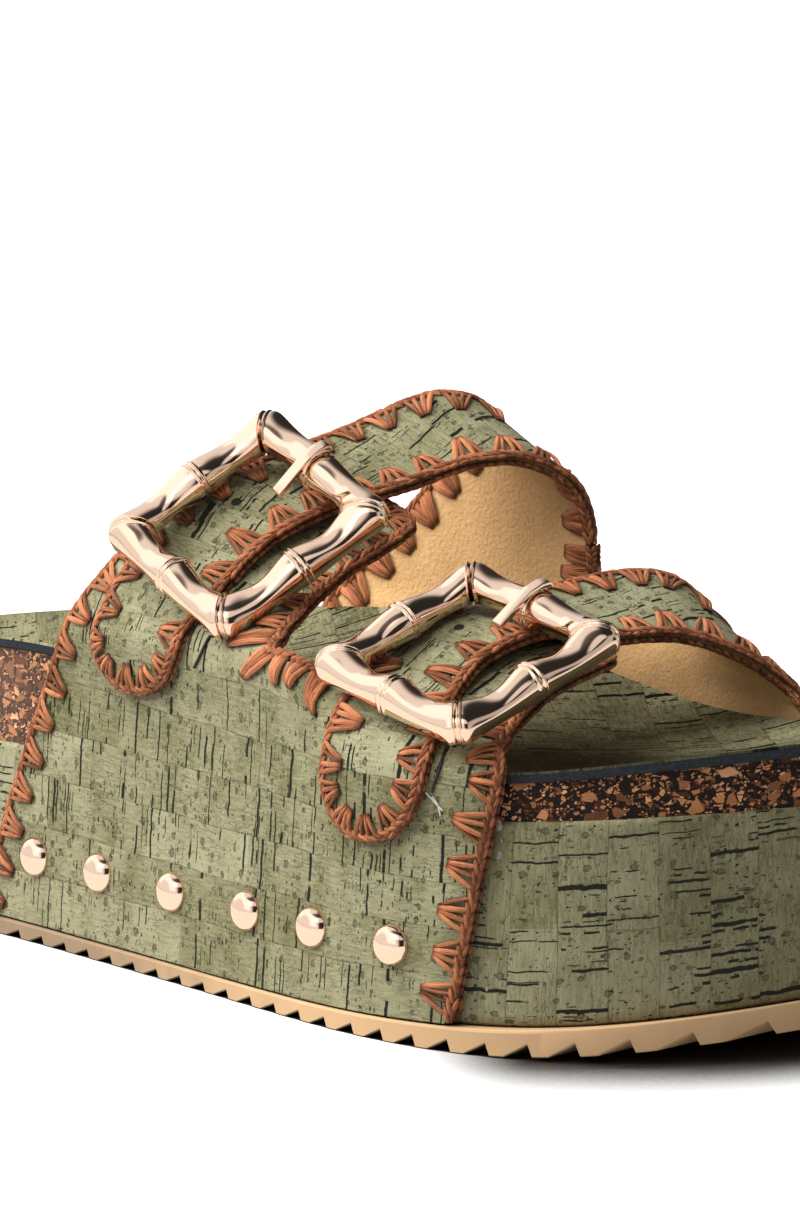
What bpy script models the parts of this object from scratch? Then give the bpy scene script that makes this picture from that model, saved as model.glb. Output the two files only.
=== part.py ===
"""Flatform sandal for the right foot, built as separate pieces.

Sizes are in millimetres. X runs from heel to toe, Y from the lateral to the medial side, Z up from the floor.
The tables measure X from the heel end. At the end every piece is moved so that the origin is under the middle.
"""
import math

import bmesh
import bpy
import numpy as np
from mathutils import Matrix

MM = 0.001
GAP = 0.3

# Sole
LENGTH = 266.0
OUTSOLE_OUTLINE = (  # x, y
    (0.0, 2.0), (8.0, -20.5), (28.0, -33.0), (60.0, -36.4), (101.0, -40.4), (132.0, -44.4), (164.0, -49.0),
    (195.0, -51.3), (218.0, -47.2), (234.0, -39.2), (250.0, -23.4), (261.0, -5.0), (LENGTH, 12.0), (259.0, 32.0),
    (243.0, 44.5), (222.0, 50.5), (197.0, 52.3), (160.0, 48.6), (134.0, 45.6), (110.0, 42.2), (60.0, 38.6),
    (28.0, 36.5), (8.0, 25.0),
)
OUTSOLE_THICKNESS = (  # x, thickness
    (0.0, 3.6), (130.0, 3.6), (180.0, 4.1), (214.0, 5.0), (LENGTH, 5.4),
)
TOOTH_PITCH = 7.8
TOOTH_DEPTH_SHARE = 0.38
TOOTH_STEEP_RUN = 0.9
TOOTH_LAND = 2.6
SPRING_START = 212.0
SPRING_RISE = 6.6
SPRING_POWER = 1.9

PLATFORM_TOP = (  # x, z
    (0.0, 36.5), (70.0, 38.2), (150.0, 41.0), (220.0, 43.8), (246.0, 45.8), (LENGTH, 46.8),
)
PLATFORM_FOOT_INSET = 2.6
WALL_LEAN = 0.08
LEDGE = 1.0
FOOTBED_LEAN = 0.03

# Height of the insole's edge on both sides, and how far the middle dips
RIM = (  # x, lateral z, medial z, dip
    (0.0, 51.0, 51.0, 5.0), (15.0, 53.0, 52.6, 7.0), (40.0, 57.0, 55.5, 8.5), (70.0, 59.6, 59.0, 8.0),
    (100.0, 59.4, 62.3, 6.0), (130.0, 57.4, 63.0, 5.0), (168.0, 54.4, 55.4, 4.0), (195.0, 52.6, 51.2, 3.5),
    (216.0, 52.7, 52.0, 3.5), (240.0, 56.0, 55.5, 4.5), (LENGTH, 59.4, 59.4, 3.0),
)
BOWL_REACH = 30.0
BOWL_POWER = 2.4
INSOLE_THICKNESS = 1.3

# Upper: outer faces, wall thickness and the edges of both panels on the sole's sides
UPPER_THICKNESS = 2.0
PANEL_FOOT_CLEARANCE = 0.4
PANEL_CLEARANCE = 0.42
WALL_ROWS = 5
LATERAL_PANEL = (  # share of wall height, rear x, notch rear x, notch front x, front x
    (0.0, 64.0, 157.0, 171.0, 212.0), (0.5, 73.3, 157.0, 171.0, 215.5), (1.0, 84.3, 156.5, 170.5, 219.0),
)
MEDIAL_PANEL = (
    (0.0, 72.0, 159.0, 178.0, 213.0), (0.5, 80.0, 159.0, 178.0, 215.5), (1.0, 92.0, 159.5, 178.0, 217.5),
)
LATERAL_WALL_TOP = ((60.0, 58.5), (225.0, 52.5))  # x, z
MEDIAL_WALL_TOP = ((60.0, 60.0), (100.0, 61.5), (165.0, 57.0), (225.0, 52.0))
NOTCH_DIP = 2.5

# Short stubs of the lateral panel, from the notch to the stub end
REAR_STUB = (  # rear x, y, z, front x, y, z
    (88.5, -33.4, 67.0, 153.2, -39.7, 66.9),
    (95.5, -27.5, 78.8, 148.6, -28.6, 71.4),
    (101.0, -21.5, 86.0, 148.5, -19.5, 77.4),
    (106.0, -14.5, 91.3, 149.5, -10.0, 82.1),
    (110.5, -4.5, 94.8, 149.5, -0.2, 85.4),
    (115.0, 5.0, 97.0, 149.0, 9.0, 89.4),
)
FRONT_STUB = (
    (168.0, -42.0, 61.5, 215.0, -37.9, 57.0),
    (165.0, -33.0, 64.2, 211.5, -31.5, 59.8),
    (165.0, -24.0, 68.8, 210.5, -23.0, 64.2),
    (167.5, -14.5, 72.6, 210.5, -14.0, 67.0),
    (168.0, -4.0, 73.4, 208.5, -4.5, 68.0),
    (169.0, 6.5, 73.4, 206.0, 5.5, 68.9),
)
# Long straps of the medial panel, from the notch over the instep
REAR_STRAP = (  # rear x, y, z, front x, y, z
    (97.0, 36.6, 67.0, 159.5, 44.3, 66.0),
    (111.0, 39.2, 82.0, 161.2, 44.3, 76.5),
    (124.5, 41.2, 96.5, 161.3, 43.6, 85.0),
    (132.5, 40.6, 105.0, 160.2, 41.6, 91.3),
    (131.5, 37.0, 109.0, 158.0, 37.4, 95.5),
    (128.3, 31.6, 110.1, 154.5, 31.5, 98.4),
    (124.0, 25.3, 108.3, 150.6, 24.0, 98.9),
    (119.0, 18.6, 104.4, 147.0, 17.0, 97.5),
    (115.5, 7.5, 100.9, 144.0, 7.0, 94.8),
)
FRONT_STRAP = (
    (179.0, 47.3, 62.0, 216.8, 46.6, 55.0),
    (184.5, 47.9, 68.0, 214.0, 45.6, 57.6),
    (185.5, 46.6, 72.5, 211.0, 42.6, 60.8),
    (183.8, 43.6, 76.2, 208.3, 38.2, 64.0),
    (180.3, 39.6, 78.4, 204.6, 32.2, 67.2),
    (176.0, 31.4, 78.5, 201.5, 26.3, 69.3),
    (172.5, 20.5, 77.1, 199.0, 18.0, 70.2),
    (171.5, 9.0, 76.6, 198.5, 7.0, 71.0),
)
# Strap ends on the stubs: row along the stub, share across it at both edges, height over it
REAR_TAIL = (  # stub row, rear share, front share, lift
    (9.0, 0.09, 0.72, 4.6), (8.0, 0.10, 0.67, 4.3), (7.0, 0.12, 0.64, 3.6), (6.0, 0.14, 0.62, 1.7),
    (5.0, 0.17, 0.61, 1.6), (4.3, 0.18, 0.61, 1.6), (3.8, 0.19, 0.61, 1.6),
)
FRONT_TAIL = (
    (9.0, 0.07, 0.71, 4.2), (8.0, 0.07, 0.67, 4.2), (7.0, 0.10, 0.66, 3.8), (6.0, 0.14, 0.66, 1.7),
    (5.0, 0.15, 0.69, 1.6), (4.0, 0.12, 0.69, 1.6), (3.2, 0.10, 0.68, 1.6), (2.6, 0.09, 0.68, 1.6),
)
TAIL_ROUND = 13.0
STUB_ROUND = 5.0

# Buckles: cast frames with waisted bars, and flat prongs
FRAME_ALONG = 44.0
FRAME_ACROSS = 41.0
BAR_WIDTH = 7.6
BAR_WAIST = 6.0
BAR_HEIGHT = 5.6
BAR_WAIST_HEIGHT = 4.4
BAR_WALL = 2.4
BUCKLES = {  # centre of the flat back, direction along the shoe, direction up the strap
    "rear": ((127.2, -20.7, 87.2), (0.91, -0.14, -0.39), (0.36, 0.75, 0.56)),
    "front": ((192.9, -25.9, 69.3), (0.98, -0.11, -0.19), (0.18, 0.88, 0.43)),
}
PRONG_WIDTH = 2.6
PRONG_THICKNESS = 1.4
PRONG_REACH = 12.0

# Studs on the lateral panel
STUDS = ((82.4, 17.4), (104.0, 17.6), (128.6, 17.8), (153.4, 18.2), (174.5, 18.5), (196.7, 18.5))  # x, z
STUD_DIAMETER = 8.0
STUD_HEIGHT = 2.6
STUD_SIDES = 16
STUD_RINGS = 4

FINISHES = {  # colour, roughness, metallic
    "tan_rubber": ((0.56, 0.40, 0.25), 0.55, 0.0),
    "olive_cork_fabric": ((0.27, 0.29, 0.17), 0.7, 0.0),
    "pressed_cork": ((0.16, 0.09, 0.06), 0.85, 0.0),
    "rose_gold": ((0.93, 0.68, 0.54), 0.14, 1.0),
}


def spline(knots, rows, closed=False):
    """Return a function that reads the smooth curve through the rows at any knot value."""
    t = np.asarray(knots, dtype=float)
    v = np.asarray(rows, dtype=float)
    n = len(t)
    h = np.diff(t)
    matrix = np.zeros((n, n))
    side = np.zeros((n, v.shape[1]))
    for i in range(1, n - 1):
        matrix[i, i - 1:i + 2] = h[i - 1], 2 * (h[i - 1] + h[i]), h[i]
        side[i] = 6 * ((v[i + 1] - v[i]) / h[i] - (v[i] - v[i - 1]) / h[i - 1])
    matrix[0, 0] = matrix[-1, -1] = 1.0
    if closed:
        matrix[0, -1] = -1.0
        matrix[-1, [0, 1, -2, -1]] = 2 * h[0], h[0], h[-1], 2 * h[-1]
        side[-1] = 6 * ((v[1] - v[0]) / h[0] - (v[-1] - v[-2]) / h[-1])
    bend = np.linalg.solve(matrix, side)

    def curve(x):
        x = np.clip(np.atleast_1d(np.asarray(x, dtype=float)), t[0], t[-1])
        i = np.clip(np.searchsorted(t, x, side="right") - 1, 0, n - 2)
        a = ((t[i + 1] - x) / h[i])[:, None]
        b = 1.0 - a
        step = (h[i] ** 2)[:, None] / 6.0
        return a * v[i] + b * v[i + 1] + step * ((a ** 3 - a) * bend[i] + (b ** 3 - b) * bend[i + 1])

    return curve


def table_curve(table):
    """Return a function that reads the later columns of a table at values of its first column."""
    rows = np.asarray(table, dtype=float)
    return spline(rows[:, 0], rows[:, 1:])


def trace_outline():
    """Return the outsole's outline as close points, with the inward direction at each."""
    rows = np.asarray(OUTSOLE_OUTLINE + OUTSOLE_OUTLINE[:1])
    run = np.concatenate([[0.0], np.cumsum(np.linalg.norm(np.diff(rows, axis=0), axis=1))])
    points = spline(run, rows, closed=True)(np.linspace(0.0, run[-1], 1201)[:-1])
    along = np.roll(points, -1, axis=0) - np.roll(points, 1, axis=0)
    along /= np.linalg.norm(along, axis=1)[:, None]
    inward = np.stack([-along[:, 1], along[:, 0]], axis=1)
    return points, inward


EDGE, INWARD = trace_outline()
HEEL, TOE = int(np.argmin(EDGE[:, 0])), int(np.argmax(EDGE[:, 0]))
LATERAL_SIDE = np.arange(HEEL, TOE + (len(EDGE) if TOE < HEEL else 0) + 1) % len(EDGE)
MEDIAL_SIDE = np.arange(HEEL, TOE - (len(EDGE) if TOE > HEEL else 0) - 1, -1) % len(EDGE)

outsole_thickness = table_curve(OUTSOLE_THICKNESS)
platform_top = table_curve(PLATFORM_TOP)
rim = table_curve(RIM)


def side_y(side, x, inset):
    """Return the y of one side of the outline at x, drawn in by the inset."""
    line = EDGE[side] + INWARD[side] * inset
    order = np.argsort(line[:, 0])
    return float(np.interp(x, line[order, 0], line[order, 1]))


def spring(x):
    """Return the rise of the sole under the toe at x."""
    share = max(x - SPRING_START, 0.0) / (LENGTH - SPRING_START)
    return SPRING_RISE * share ** SPRING_POWER


def outsole_top(x):
    """Return the height of the outsole's upper face at x."""
    return spring(x) + float(outsole_thickness(x)[0, 0])


def wall_inset(x, z):
    """Return how far the platform's flared side lies inside the outline at a height."""
    return PLATFORM_FOOT_INSET + WALL_LEAN * (z - outsole_top(x))


def add_object(name, verts, faces, finish):
    """Add a mesh object from points in millimetres."""
    mesh = bpy.data.meshes.new(name)
    mesh.from_pydata([(np.asarray(v) * MM).tolist() for v in verts], [], faces)
    mesh.validate()
    mesh.materials.append(material(finish))
    obj = bpy.data.objects.new(name, mesh)
    bpy.context.collection.objects.link(obj)
    return obj


def material(finish):
    """Return the named finish as a material, made once."""
    if finish in bpy.data.materials:
        return bpy.data.materials[finish]
    colour, roughness, metallic = FINISHES[finish]
    made = bpy.data.materials.new(finish)
    made.use_nodes = True
    shader = made.node_tree.nodes["Principled BSDF"]
    shader.inputs["Base Color"].default_value = (*colour, 1.0)
    shader.inputs["Roughness"].default_value = roughness
    shader.inputs["Metallic"].default_value = metallic
    return made


def shade(obj, angle=35.0):
    """Shade a piece smooth with sharp edges kept."""
    obj.data.shade_smooth()
    obj.data.set_sharp_from_angle(angle=math.radians(angle))


def slab(name, stations, columns, finish):
    """Build a closed slab from a top and a bottom row of points at each station along the shoe."""
    verts = []
    for top, bottom in stations:
        verts.extend(top)
        verts.extend(bottom)
    row = columns + 1
    ring = 2 * row
    faces = []
    for i in range(len(stations) - 1):
        a, b = i * ring, (i + 1) * ring
        for c in range(columns):
            faces.append((a + c, b + c, b + c + 1, a + c + 1))
            faces.append((a + row + c, a + row + c + 1, b + row + c + 1, b + row + c))
        faces.append((a, a + row, b + row, b))
        last = columns
        faces.append((a + last, b + last, b + row + last, a + row + last))
    end = (len(stations) - 1) * ring
    for c in range(columns):
        faces.append((c, c + 1, row + c + 1, row + c))
        faces.append((end + c, end + row + c, end + row + c + 1, end + c + 1))
    obj = add_object(name, verts, faces, finish)
    shade(obj)
    return obj


def build_outsole():
    """Build the rubber outsole with saw-tooth cross ridges and toe spring."""
    places = []
    for k in range(int(LENGTH / TOOTH_PITCH) + 1):
        start = k * TOOTH_PITCH
        places.append((start, 1.0))
        places.append((start + TOOTH_STEEP_RUN, 0.0))
        places.append((start + TOOTH_STEEP_RUN + TOOTH_LAND, 0.0))
    places.append((places[-1][0] + TOOTH_PITCH, 1.0))
    at, depth = np.array(places).T
    ends = [0.25, 1.2, 2.6, 4.6, LENGTH - 4.6, LENGTH - 2.6, LENGTH - 1.2, LENGTH - 0.25]
    stations = []
    for x in sorted(set(at[(at > 0.5) & (at < LENGTH - 0.5)]).union(ends)):
        thickness = float(outsole_thickness(x)[0, 0])
        low = spring(x) + TOOTH_DEPTH_SHARE * thickness * float(np.interp(x, at, depth))
        top = outsole_top(x)
        sides = side_y(LATERAL_SIDE, x, 0.0), side_y(MEDIAL_SIDE, x, 0.0)
        stations.append(([(x, y, top) for y in sides], [(x, y, low) for y in sides]))
    slab("outsole", stations, 1, "tan_rubber")


def rungs(count, inset, end_run=3.0):
    """Return pairs of lateral and medial outline points from heel to toe, drawn in by the inset."""
    pairs = []
    lines = []
    for side in (LATERAL_SIDE, MEDIAL_SIDE):
        line = EDGE[side]
        run = np.concatenate([[0.0], np.cumsum(np.linalg.norm(np.diff(line, axis=0), axis=1))])
        at = np.linspace(end_run, run[-1] - end_run, count)
        drawn = line + INWARD[side] * inset
        lines.append(np.stack([np.interp(at, run, drawn[:, c]) for c in range(2)], axis=1))
    for lateral, medial in zip(*lines):
        pairs.append((lateral, medial))
    return pairs


def across(pair, columns, height):
    """Return a row of points between a pair, with a height from x, the share across and the width."""
    row = []
    width = float(np.linalg.norm(pair[1] - pair[0]))
    for c in range(columns + 1):
        share = c / columns
        x, y = pair[0] + share * (pair[1] - pair[0])
        row.append((x, y, height(x, share, width)))
    return row


SOLE_RUNGS = 50
FOOTBED_COLUMNS = 8


def build_platform():
    """Build the wrapped platform with flared sides."""
    rise = float(platform_top(LENGTH / 2)[0, 0]) - outsole_top(LENGTH / 2)
    low = rungs(SOLE_RUNGS, PLATFORM_FOOT_INSET)
    high = rungs(SOLE_RUNGS, PLATFORM_FOOT_INSET + WALL_LEAN * rise)
    stations = []
    for bottom, top in zip(low, high):
        stations.append((across(top, 2, lambda x, share, width: float(platform_top(x)[0, 0])),
                         across(bottom, 2, lambda x, share, width: outsole_top(x) + GAP)))
    slab("platform", stations, 2, "olive_cork_fabric")


def footbed_height(x, share, width):
    """Return the height of the insole's face at x and the share across a width from lateral to medial."""
    lateral, medial, dip = rim(x)[0]
    cross = share * share * (3.0 - 2.0 * share)
    inside = min(min(share, 1.0 - share) * width / BOWL_REACH, 1.0)
    bowl = 1.0 - (1.0 - inside) ** BOWL_POWER
    return lateral + (medial - lateral) * cross - dip * bowl


def under_insole(x, share, width):
    """Return the height of the insole's lower face."""
    return footbed_height(x, share, width) - INSOLE_THICKNESS


def cork_height(x, share, width):
    """Return the height of the footbed's upper face."""
    return under_insole(x, share, width) - GAP


def cork_foot(x, share, width):
    """Return the height of the footbed's lower face."""
    return float(platform_top(x)[0, 0]) + GAP


def build_footbed():
    """Build the pressed cork footbed and the insole that lies in it."""
    rise = float(platform_top(LENGTH / 2)[0, 0]) - outsole_top(LENGTH / 2)
    foot = PLATFORM_FOOT_INSET + WALL_LEAN * rise + LEDGE
    height = footbed_height(LENGTH / 2, 0.0, BOWL_REACH) - float(platform_top(LENGTH / 2)[0, 0])
    low = rungs(SOLE_RUNGS, foot)
    high = rungs(SOLE_RUNGS, foot + FOOTBED_LEAN * height)
    cork, sheet = [], []
    for bottom, top in zip(low, high):
        cork.append((across(top, FOOTBED_COLUMNS, cork_height), across(bottom, FOOTBED_COLUMNS, cork_foot)))
        sheet.append((across(top, FOOTBED_COLUMNS, footbed_height), across(top, FOOTBED_COLUMNS, under_insole)))
    slab("footbed_cork", cork, FOOTBED_COLUMNS, "pressed_cork")
    slab("insole", sheet, FOOTBED_COLUMNS, "olive_cork_fabric")


TONGUE_COLUMNS = 8
NOTCH_COLUMNS = 4
ROW_STEPS = 2


def panel_wall(side, panel, wall_top):
    """Return control rows of a panel on the sole's side, each from its rear to its front edge."""
    edges = table_curve(panel)
    top_of = table_curve(wall_top)
    rows = []
    for r in range(WALL_ROWS):
        share = r / (WALL_ROWS - 1)
        rear, notch_rear, notch_front, front = edges(share)[0]
        xs = np.concatenate([np.linspace(rear, notch_rear, TONGUE_COLUMNS + 1),
                             np.linspace(notch_rear, notch_front, NOTCH_COLUMNS + 1)[1:-1],
                             np.linspace(notch_front, front, TONGUE_COLUMNS + 1)])
        row = []
        for x in xs:
            foot = outsole_top(x) + PANEL_FOOT_CLEARANCE
            z = foot + share * (float(top_of(x)[0, 0]) - foot)
            inset = wall_inset(x, z) - PANEL_CLEARANCE - UPPER_THICKNESS
            row.append((x, side_y(side, x, inset), z))
        rows.append(np.array(row))
    return np.array(rows)


def edge_rows(table):
    """Return control rows of a tongue, straight across between its rear and front edges."""
    rows = np.asarray(table, dtype=float)
    share = np.linspace(0.0, 1.0, TONGUE_COLUMNS + 1)[None, :, None]
    return rows[:, None, :3] * (1.0 - share) + rows[:, None, 3:] * share


def smooth_rows(control, steps=ROW_STEPS):
    """Return rows of points on the smooth surface through control rows."""
    count = len(control)
    flat = control.reshape(count, -1)
    at = np.linspace(0.0, count - 1.0, (count - 1) * steps + 1)
    return spline(np.arange(count), flat)(at).reshape(len(at), -1, 3)


def face_point(control, row, share, lift):
    """Return the point over a control surface at a row, a share across it and a height."""
    read = spline(np.arange(len(control)), control.reshape(len(control), -1))

    def at(r, s):
        line = read(r).reshape(-1, 3)
        place = s * (len(line) - 1)
        return np.array([np.interp(place, np.arange(len(line)), line[:, c]) for c in range(3)])

    step = 0.05
    up = at(row + step, share) - at(row - step, share)
    along = at(row, min(share + step, 1.0)) - at(row, max(share - step, 0.0))
    normal = np.cross(along, up)
    return at(row, share) + lift * normal / np.linalg.norm(normal)


def tail_rows(stub, tail):
    """Return control rows of a strap's end that lies over a stub."""
    rows = []
    for row, rear, front, lift in tail:
        shares = np.linspace(rear, front, TONGUE_COLUMNS + 1)
        rows.append([face_point(stub, row, s, lift) for s in shares])
    return np.array(rows)


def round_end(rows, length, power):
    """Return rows whose last stretch narrows to a rounded end."""
    centre = rows[:, TONGUE_COLUMNS // 2]
    left = np.concatenate([np.linalg.norm(np.diff(centre, axis=0), axis=1)[::-1].cumsum()[::-1], [0.0]])
    shaped = rows.copy()
    for i, run in enumerate(left):
        if run < length:
            past = min(1.0 - run / length, 0.985)
            width = (1.0 - past ** power) ** (1.0 / power)
            middle = (rows[i, :1] + rows[i, -1:]) / 2
            shaped[i] = middle + (rows[i] - middle) * width
    return shaped


def add_sheet(name, wall, tongues, rounds, flip):
    """Build a panel with a notch and two tongues as one sheet of even thickness."""
    full = TONGUE_COLUMNS + 1
    first = [0, full + NOTCH_COLUMNS - 1]
    surfaces = []
    for start, tongue, ending in zip(first, tongues, rounds):
        control = np.concatenate([wall[:, start:start + full], tongue])
        surfaces.append(round_end(smooth_rows(control), *ending))
    notch_row = WALL_ROWS * ROW_STEPS
    share = np.linspace(0.0, 1.0, NOTCH_COLUMNS + 1)[1:-1, None]
    lip = tongues[0][0, -1] * (1.0 - share) + tongues[1][0, 0] * share
    lip[:, 2] -= NOTCH_DIP * np.sin(np.pi * share[:, 0]) ** 0.5
    middle = smooth_rows(np.concatenate([wall[:, full:full + NOTCH_COLUMNS - 1], lip[None]]))

    verts, index = [], {}

    def place(part, row, column, point):
        index[part, row, column] = len(verts)
        verts.append(point)

    for part, surface in enumerate(surfaces):
        for r, row in enumerate(surface):
            for c, point in enumerate(row):
                place(part, r, c, point)
    for r, row in enumerate(middle):
        for c, point in enumerate(row):
            place(2, r, c + 1, point)
        index[2, r, 0] = index[0, r, TONGUE_COLUMNS]
        index[2, r, NOTCH_COLUMNS] = index[1, r, 0]
    faces = []
    spans = [(0, len(surfaces[0]), TONGUE_COLUMNS), (1, len(surfaces[1]), TONGUE_COLUMNS),
             (2, notch_row + 1, NOTCH_COLUMNS)]
    for part, rows, columns in spans:
        for r in range(rows - 1):
            for c in range(columns):
                face = (index[part, r, c], index[part, r, c + 1], index[part, r + 1, c + 1], index[part, r + 1, c])
                faces.append(face[::-1] if flip else face)
    obj = add_object(name, verts, faces, "olive_cork_fabric")
    shade(obj)
    wall_depth = obj.modifiers.new("wall", "SOLIDIFY")
    wall_depth.thickness = UPPER_THICKNESS * MM
    wall_depth.offset = -1.0
    wall_depth.use_even_offset = True
    return obj


def build_upper():
    """Build the upper: both panels, with the straps joined to the stubs that they lie over."""
    lateral = panel_wall(LATERAL_SIDE, LATERAL_PANEL, LATERAL_WALL_TOP)
    medial = panel_wall(MEDIAL_SIDE, MEDIAL_PANEL, MEDIAL_WALL_TOP)
    full = TONGUE_COLUMNS + 1
    stubs = [edge_rows(REAR_STUB), edge_rows(FRONT_STUB)]
    straps = []
    for stub, table, tail, start in ((stubs[0], REAR_STRAP, REAR_TAIL, 0),
                                     (stubs[1], FRONT_STRAP, FRONT_TAIL, full + NOTCH_COLUMNS - 1)):
        under = np.concatenate([lateral[:, start:start + full], stub])
        straps.append(np.concatenate([edge_rows(table), tail_rows(under, tail)]))
    stub_end = (STUB_ROUND, 2.0)
    tail_end = (TAIL_ROUND, 2.0)
    upper = add_sheet("upper", lateral, stubs, (stub_end, stub_end), flip=False)
    medial_sheet = add_sheet("medial_sheet", medial, straps, (tail_end, tail_end), flip=True)
    medial_sheet.hide_render = True
    medial_sheet.display_type = "WIRE"
    join = upper.modifiers.new("straps", "BOOLEAN")
    join.operation = "UNION"
    join.object = medial_sheet


def frame_axes(along, up):
    """Return square axes from a direction along the shoe and one up the strap."""
    a = np.array(along) / np.linalg.norm(along)
    u = np.array(up) - a * np.dot(up, a)
    u /= np.linalg.norm(u)
    return a, u, np.cross(a, u)


BAR_STEPS = 8
BAR_PROFILE = 9


def bar_section(width, height):
    """Return a bar's cut as (out, up) pairs: flat back, upright outer wall and a domed face."""
    half = width / 2
    wall = BAR_WALL
    points = [(half, 0.0), (half, wall)]
    for k in range(1, BAR_PROFILE - 3):
        turn = math.pi * k / (BAR_PROFILE - 3)
        points.append((half * math.cos(turn), wall + (height - wall) * math.sin(turn)))
    points += [(-half, wall), (-half, 0.0)]
    return points


def build_frame(name, centre, along, up):
    """Build one cast buckle frame with bars that swell at their middles and corners."""
    a, u, n = frame_axes(along, up)
    half = np.array([(FRAME_ALONG - BAR_WIDTH) / 2, (FRAME_ACROSS - BAR_WIDTH) / 2])
    corners = [half * s for s in ((-1, -1), (1, -1), (1, 1), (-1, 1))]
    outward = [np.array(d) for d in ((0, -1), (1, 0), (0, 1), (-1, 0))]
    verts = []
    for side in range(4):
        start, end = corners[side], corners[(side + 1) % 4]
        for k in range(BAR_STEPS):
            share = k / BAR_STEPS
            waist = math.sin(2 * math.pi * share) ** 2
            width = BAR_WIDTH - (BAR_WIDTH - BAR_WAIST) * waist
            height = BAR_HEIGHT - (BAR_HEIGHT - BAR_WAIST_HEIGHT) * waist
            out = outward[side] + (outward[side - 1] if k == 0 else 0)
            flat = start + (end - start) * share
            for o, h in bar_section(width, height):
                p = flat + out * o
                verts.append(np.array(centre) + a * p[0] + u * p[1] + n * h)
    count = len(bar_section(1.0, 1.0))
    total = 4 * BAR_STEPS
    faces = []
    for i in range(total):
        j = (i + 1) % total
        for c in range(count):
            d = (c + 1) % count
            faces.append((i * count + c, j * count + c, j * count + d, i * count + d))
    shade(add_object(name, verts, faces, "rose_gold"), 50.0)


def build_prong(name, centre, along, up):
    """Build the flat prong that crosses the bar nearest the instep."""
    a, u, n = frame_axes(along, up)
    bar = (FRAME_ACROSS - BAR_WIDTH) / 2
    over = BAR_HEIGHT + GAP
    half = BAR_WIDTH / 2
    path = [(bar + half * 0.75, over - 1.2), (bar + half * 0.35, over), (bar - half * 0.35, over),
            (bar - half * 1.0, over - 1.0), (bar - PRONG_REACH + 2.0, over - 3.4)]
    verts = []
    for reach, height in path:
        for across_share, thick in ((-0.5, 0), (0.5, 0), (0.5, 1), (-0.5, 1)):
            p = a * (across_share * PRONG_WIDTH) + u * reach + n * (height + thick * PRONG_THICKNESS)
            verts.append(np.array(centre) + p)
    faces = [(0, 3, 2, 1)]
    for i in range(len(path) - 1):
        for c in range(4):
            d = (c + 1) % 4
            faces.append((4 * i + c, 4 * i + d, 4 * (i + 1) + d, 4 * (i + 1) + c))
    last = 4 * (len(path) - 1)
    faces.append((last, last + 1, last + 2, last + 3))
    obj = add_object(name, verts, faces, "rose_gold")
    face_out(obj)
    shade(obj)


def face_out(obj):
    """Turn a closed piece's faces outwards."""
    shape = bmesh.new()
    shape.from_mesh(obj.data)
    bmesh.ops.recalc_face_normals(shape, faces=shape.faces)
    shape.to_mesh(obj.data)
    shape.free()


def build_stud(number, x, z):
    """Build one dome stud with its flat back on the lateral panel."""
    inset = wall_inset(x, z) - PANEL_CLEARANCE - GAP - UPPER_THICKNESS
    step = 4.0
    here = np.array([x, side_y(LATERAL_SIDE, x, inset), z])
    along = np.array([2 * step, side_y(LATERAL_SIDE, x + step, inset) - side_y(LATERAL_SIDE, x - step, inset), 0.0])
    rise = np.array([0.0, WALL_LEAN, 1.0])
    a, u, n = frame_axes(along, rise)
    radius = STUD_DIAMETER / 2
    ball = (radius ** 2 + STUD_HEIGHT ** 2) / (2 * STUD_HEIGHT)
    sweep = math.asin(radius / ball)
    verts = [here, here + n * STUD_HEIGHT]
    for ring in range(STUD_RINGS):
        tilt = sweep * (1.0 - ring / STUD_RINGS)
        out, up = ball * math.sin(tilt), ball * math.cos(tilt) - (ball - STUD_HEIGHT)
        for k in range(STUD_SIDES):
            turn = 2 * math.pi * k / STUD_SIDES
            verts.append(here + a * out * math.cos(turn) + u * out * math.sin(turn) + n * up)
    faces = []
    for k in range(STUD_SIDES):
        m = (k + 1) % STUD_SIDES
        faces.append((0, 2 + m, 2 + k))
        for ring in range(STUD_RINGS - 1):
            low, high = 2 + ring * STUD_SIDES, 2 + (ring + 1) * STUD_SIDES
            faces.append((low + k, low + m, high + m, high + k))
        top = 2 + (STUD_RINGS - 1) * STUD_SIDES
        faces.append((top + k, top + m, 1))
    shade(add_object(f"stud_{number}", verts, faces, "rose_gold"))


def centre_pieces():
    """Move every piece so that the origin lies under the middle of the whole."""
    corners = [v.co for obj in bpy.data.objects for v in obj.data.vertices]
    middle = [(min(c[k] for c in corners) + max(c[k] for c in corners)) / 2 for k in range(2)]
    for obj in bpy.data.objects:
        obj.data.transform(Matrix.Translation((-middle[0], -middle[1], 0.0)))


def main():
    """Build every piece of the sandal."""
    for obj in list(bpy.data.objects):
        bpy.data.objects.remove(obj, do_unlink=True)
    build_outsole()
    build_platform()
    build_footbed()
    build_upper()
    for place, (centre, along, up) in BUCKLES.items():
        build_frame(f"buckle_{place}_frame", centre, along, up)
        build_prong(f"buckle_{place}_prong", centre, along, up)
    for number, (x, z) in enumerate(STUDS, start=1):
        build_stud(number, x, z)
    centre_pieces()


main()
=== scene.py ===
"""Looks of a right flatform sandal: cork fabric, crochet edging, pressed cork, rubber and cast buckles."""
import logging
import math
from contextlib import contextmanager
from dataclasses import dataclass
from enum import Enum
from typing import Any, Callable, ClassVar, Iterator, Sequence

import bpy
import numpy as np
from mathutils import Matrix, Vector
from mathutils.bvhtree import BVHTree


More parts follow.
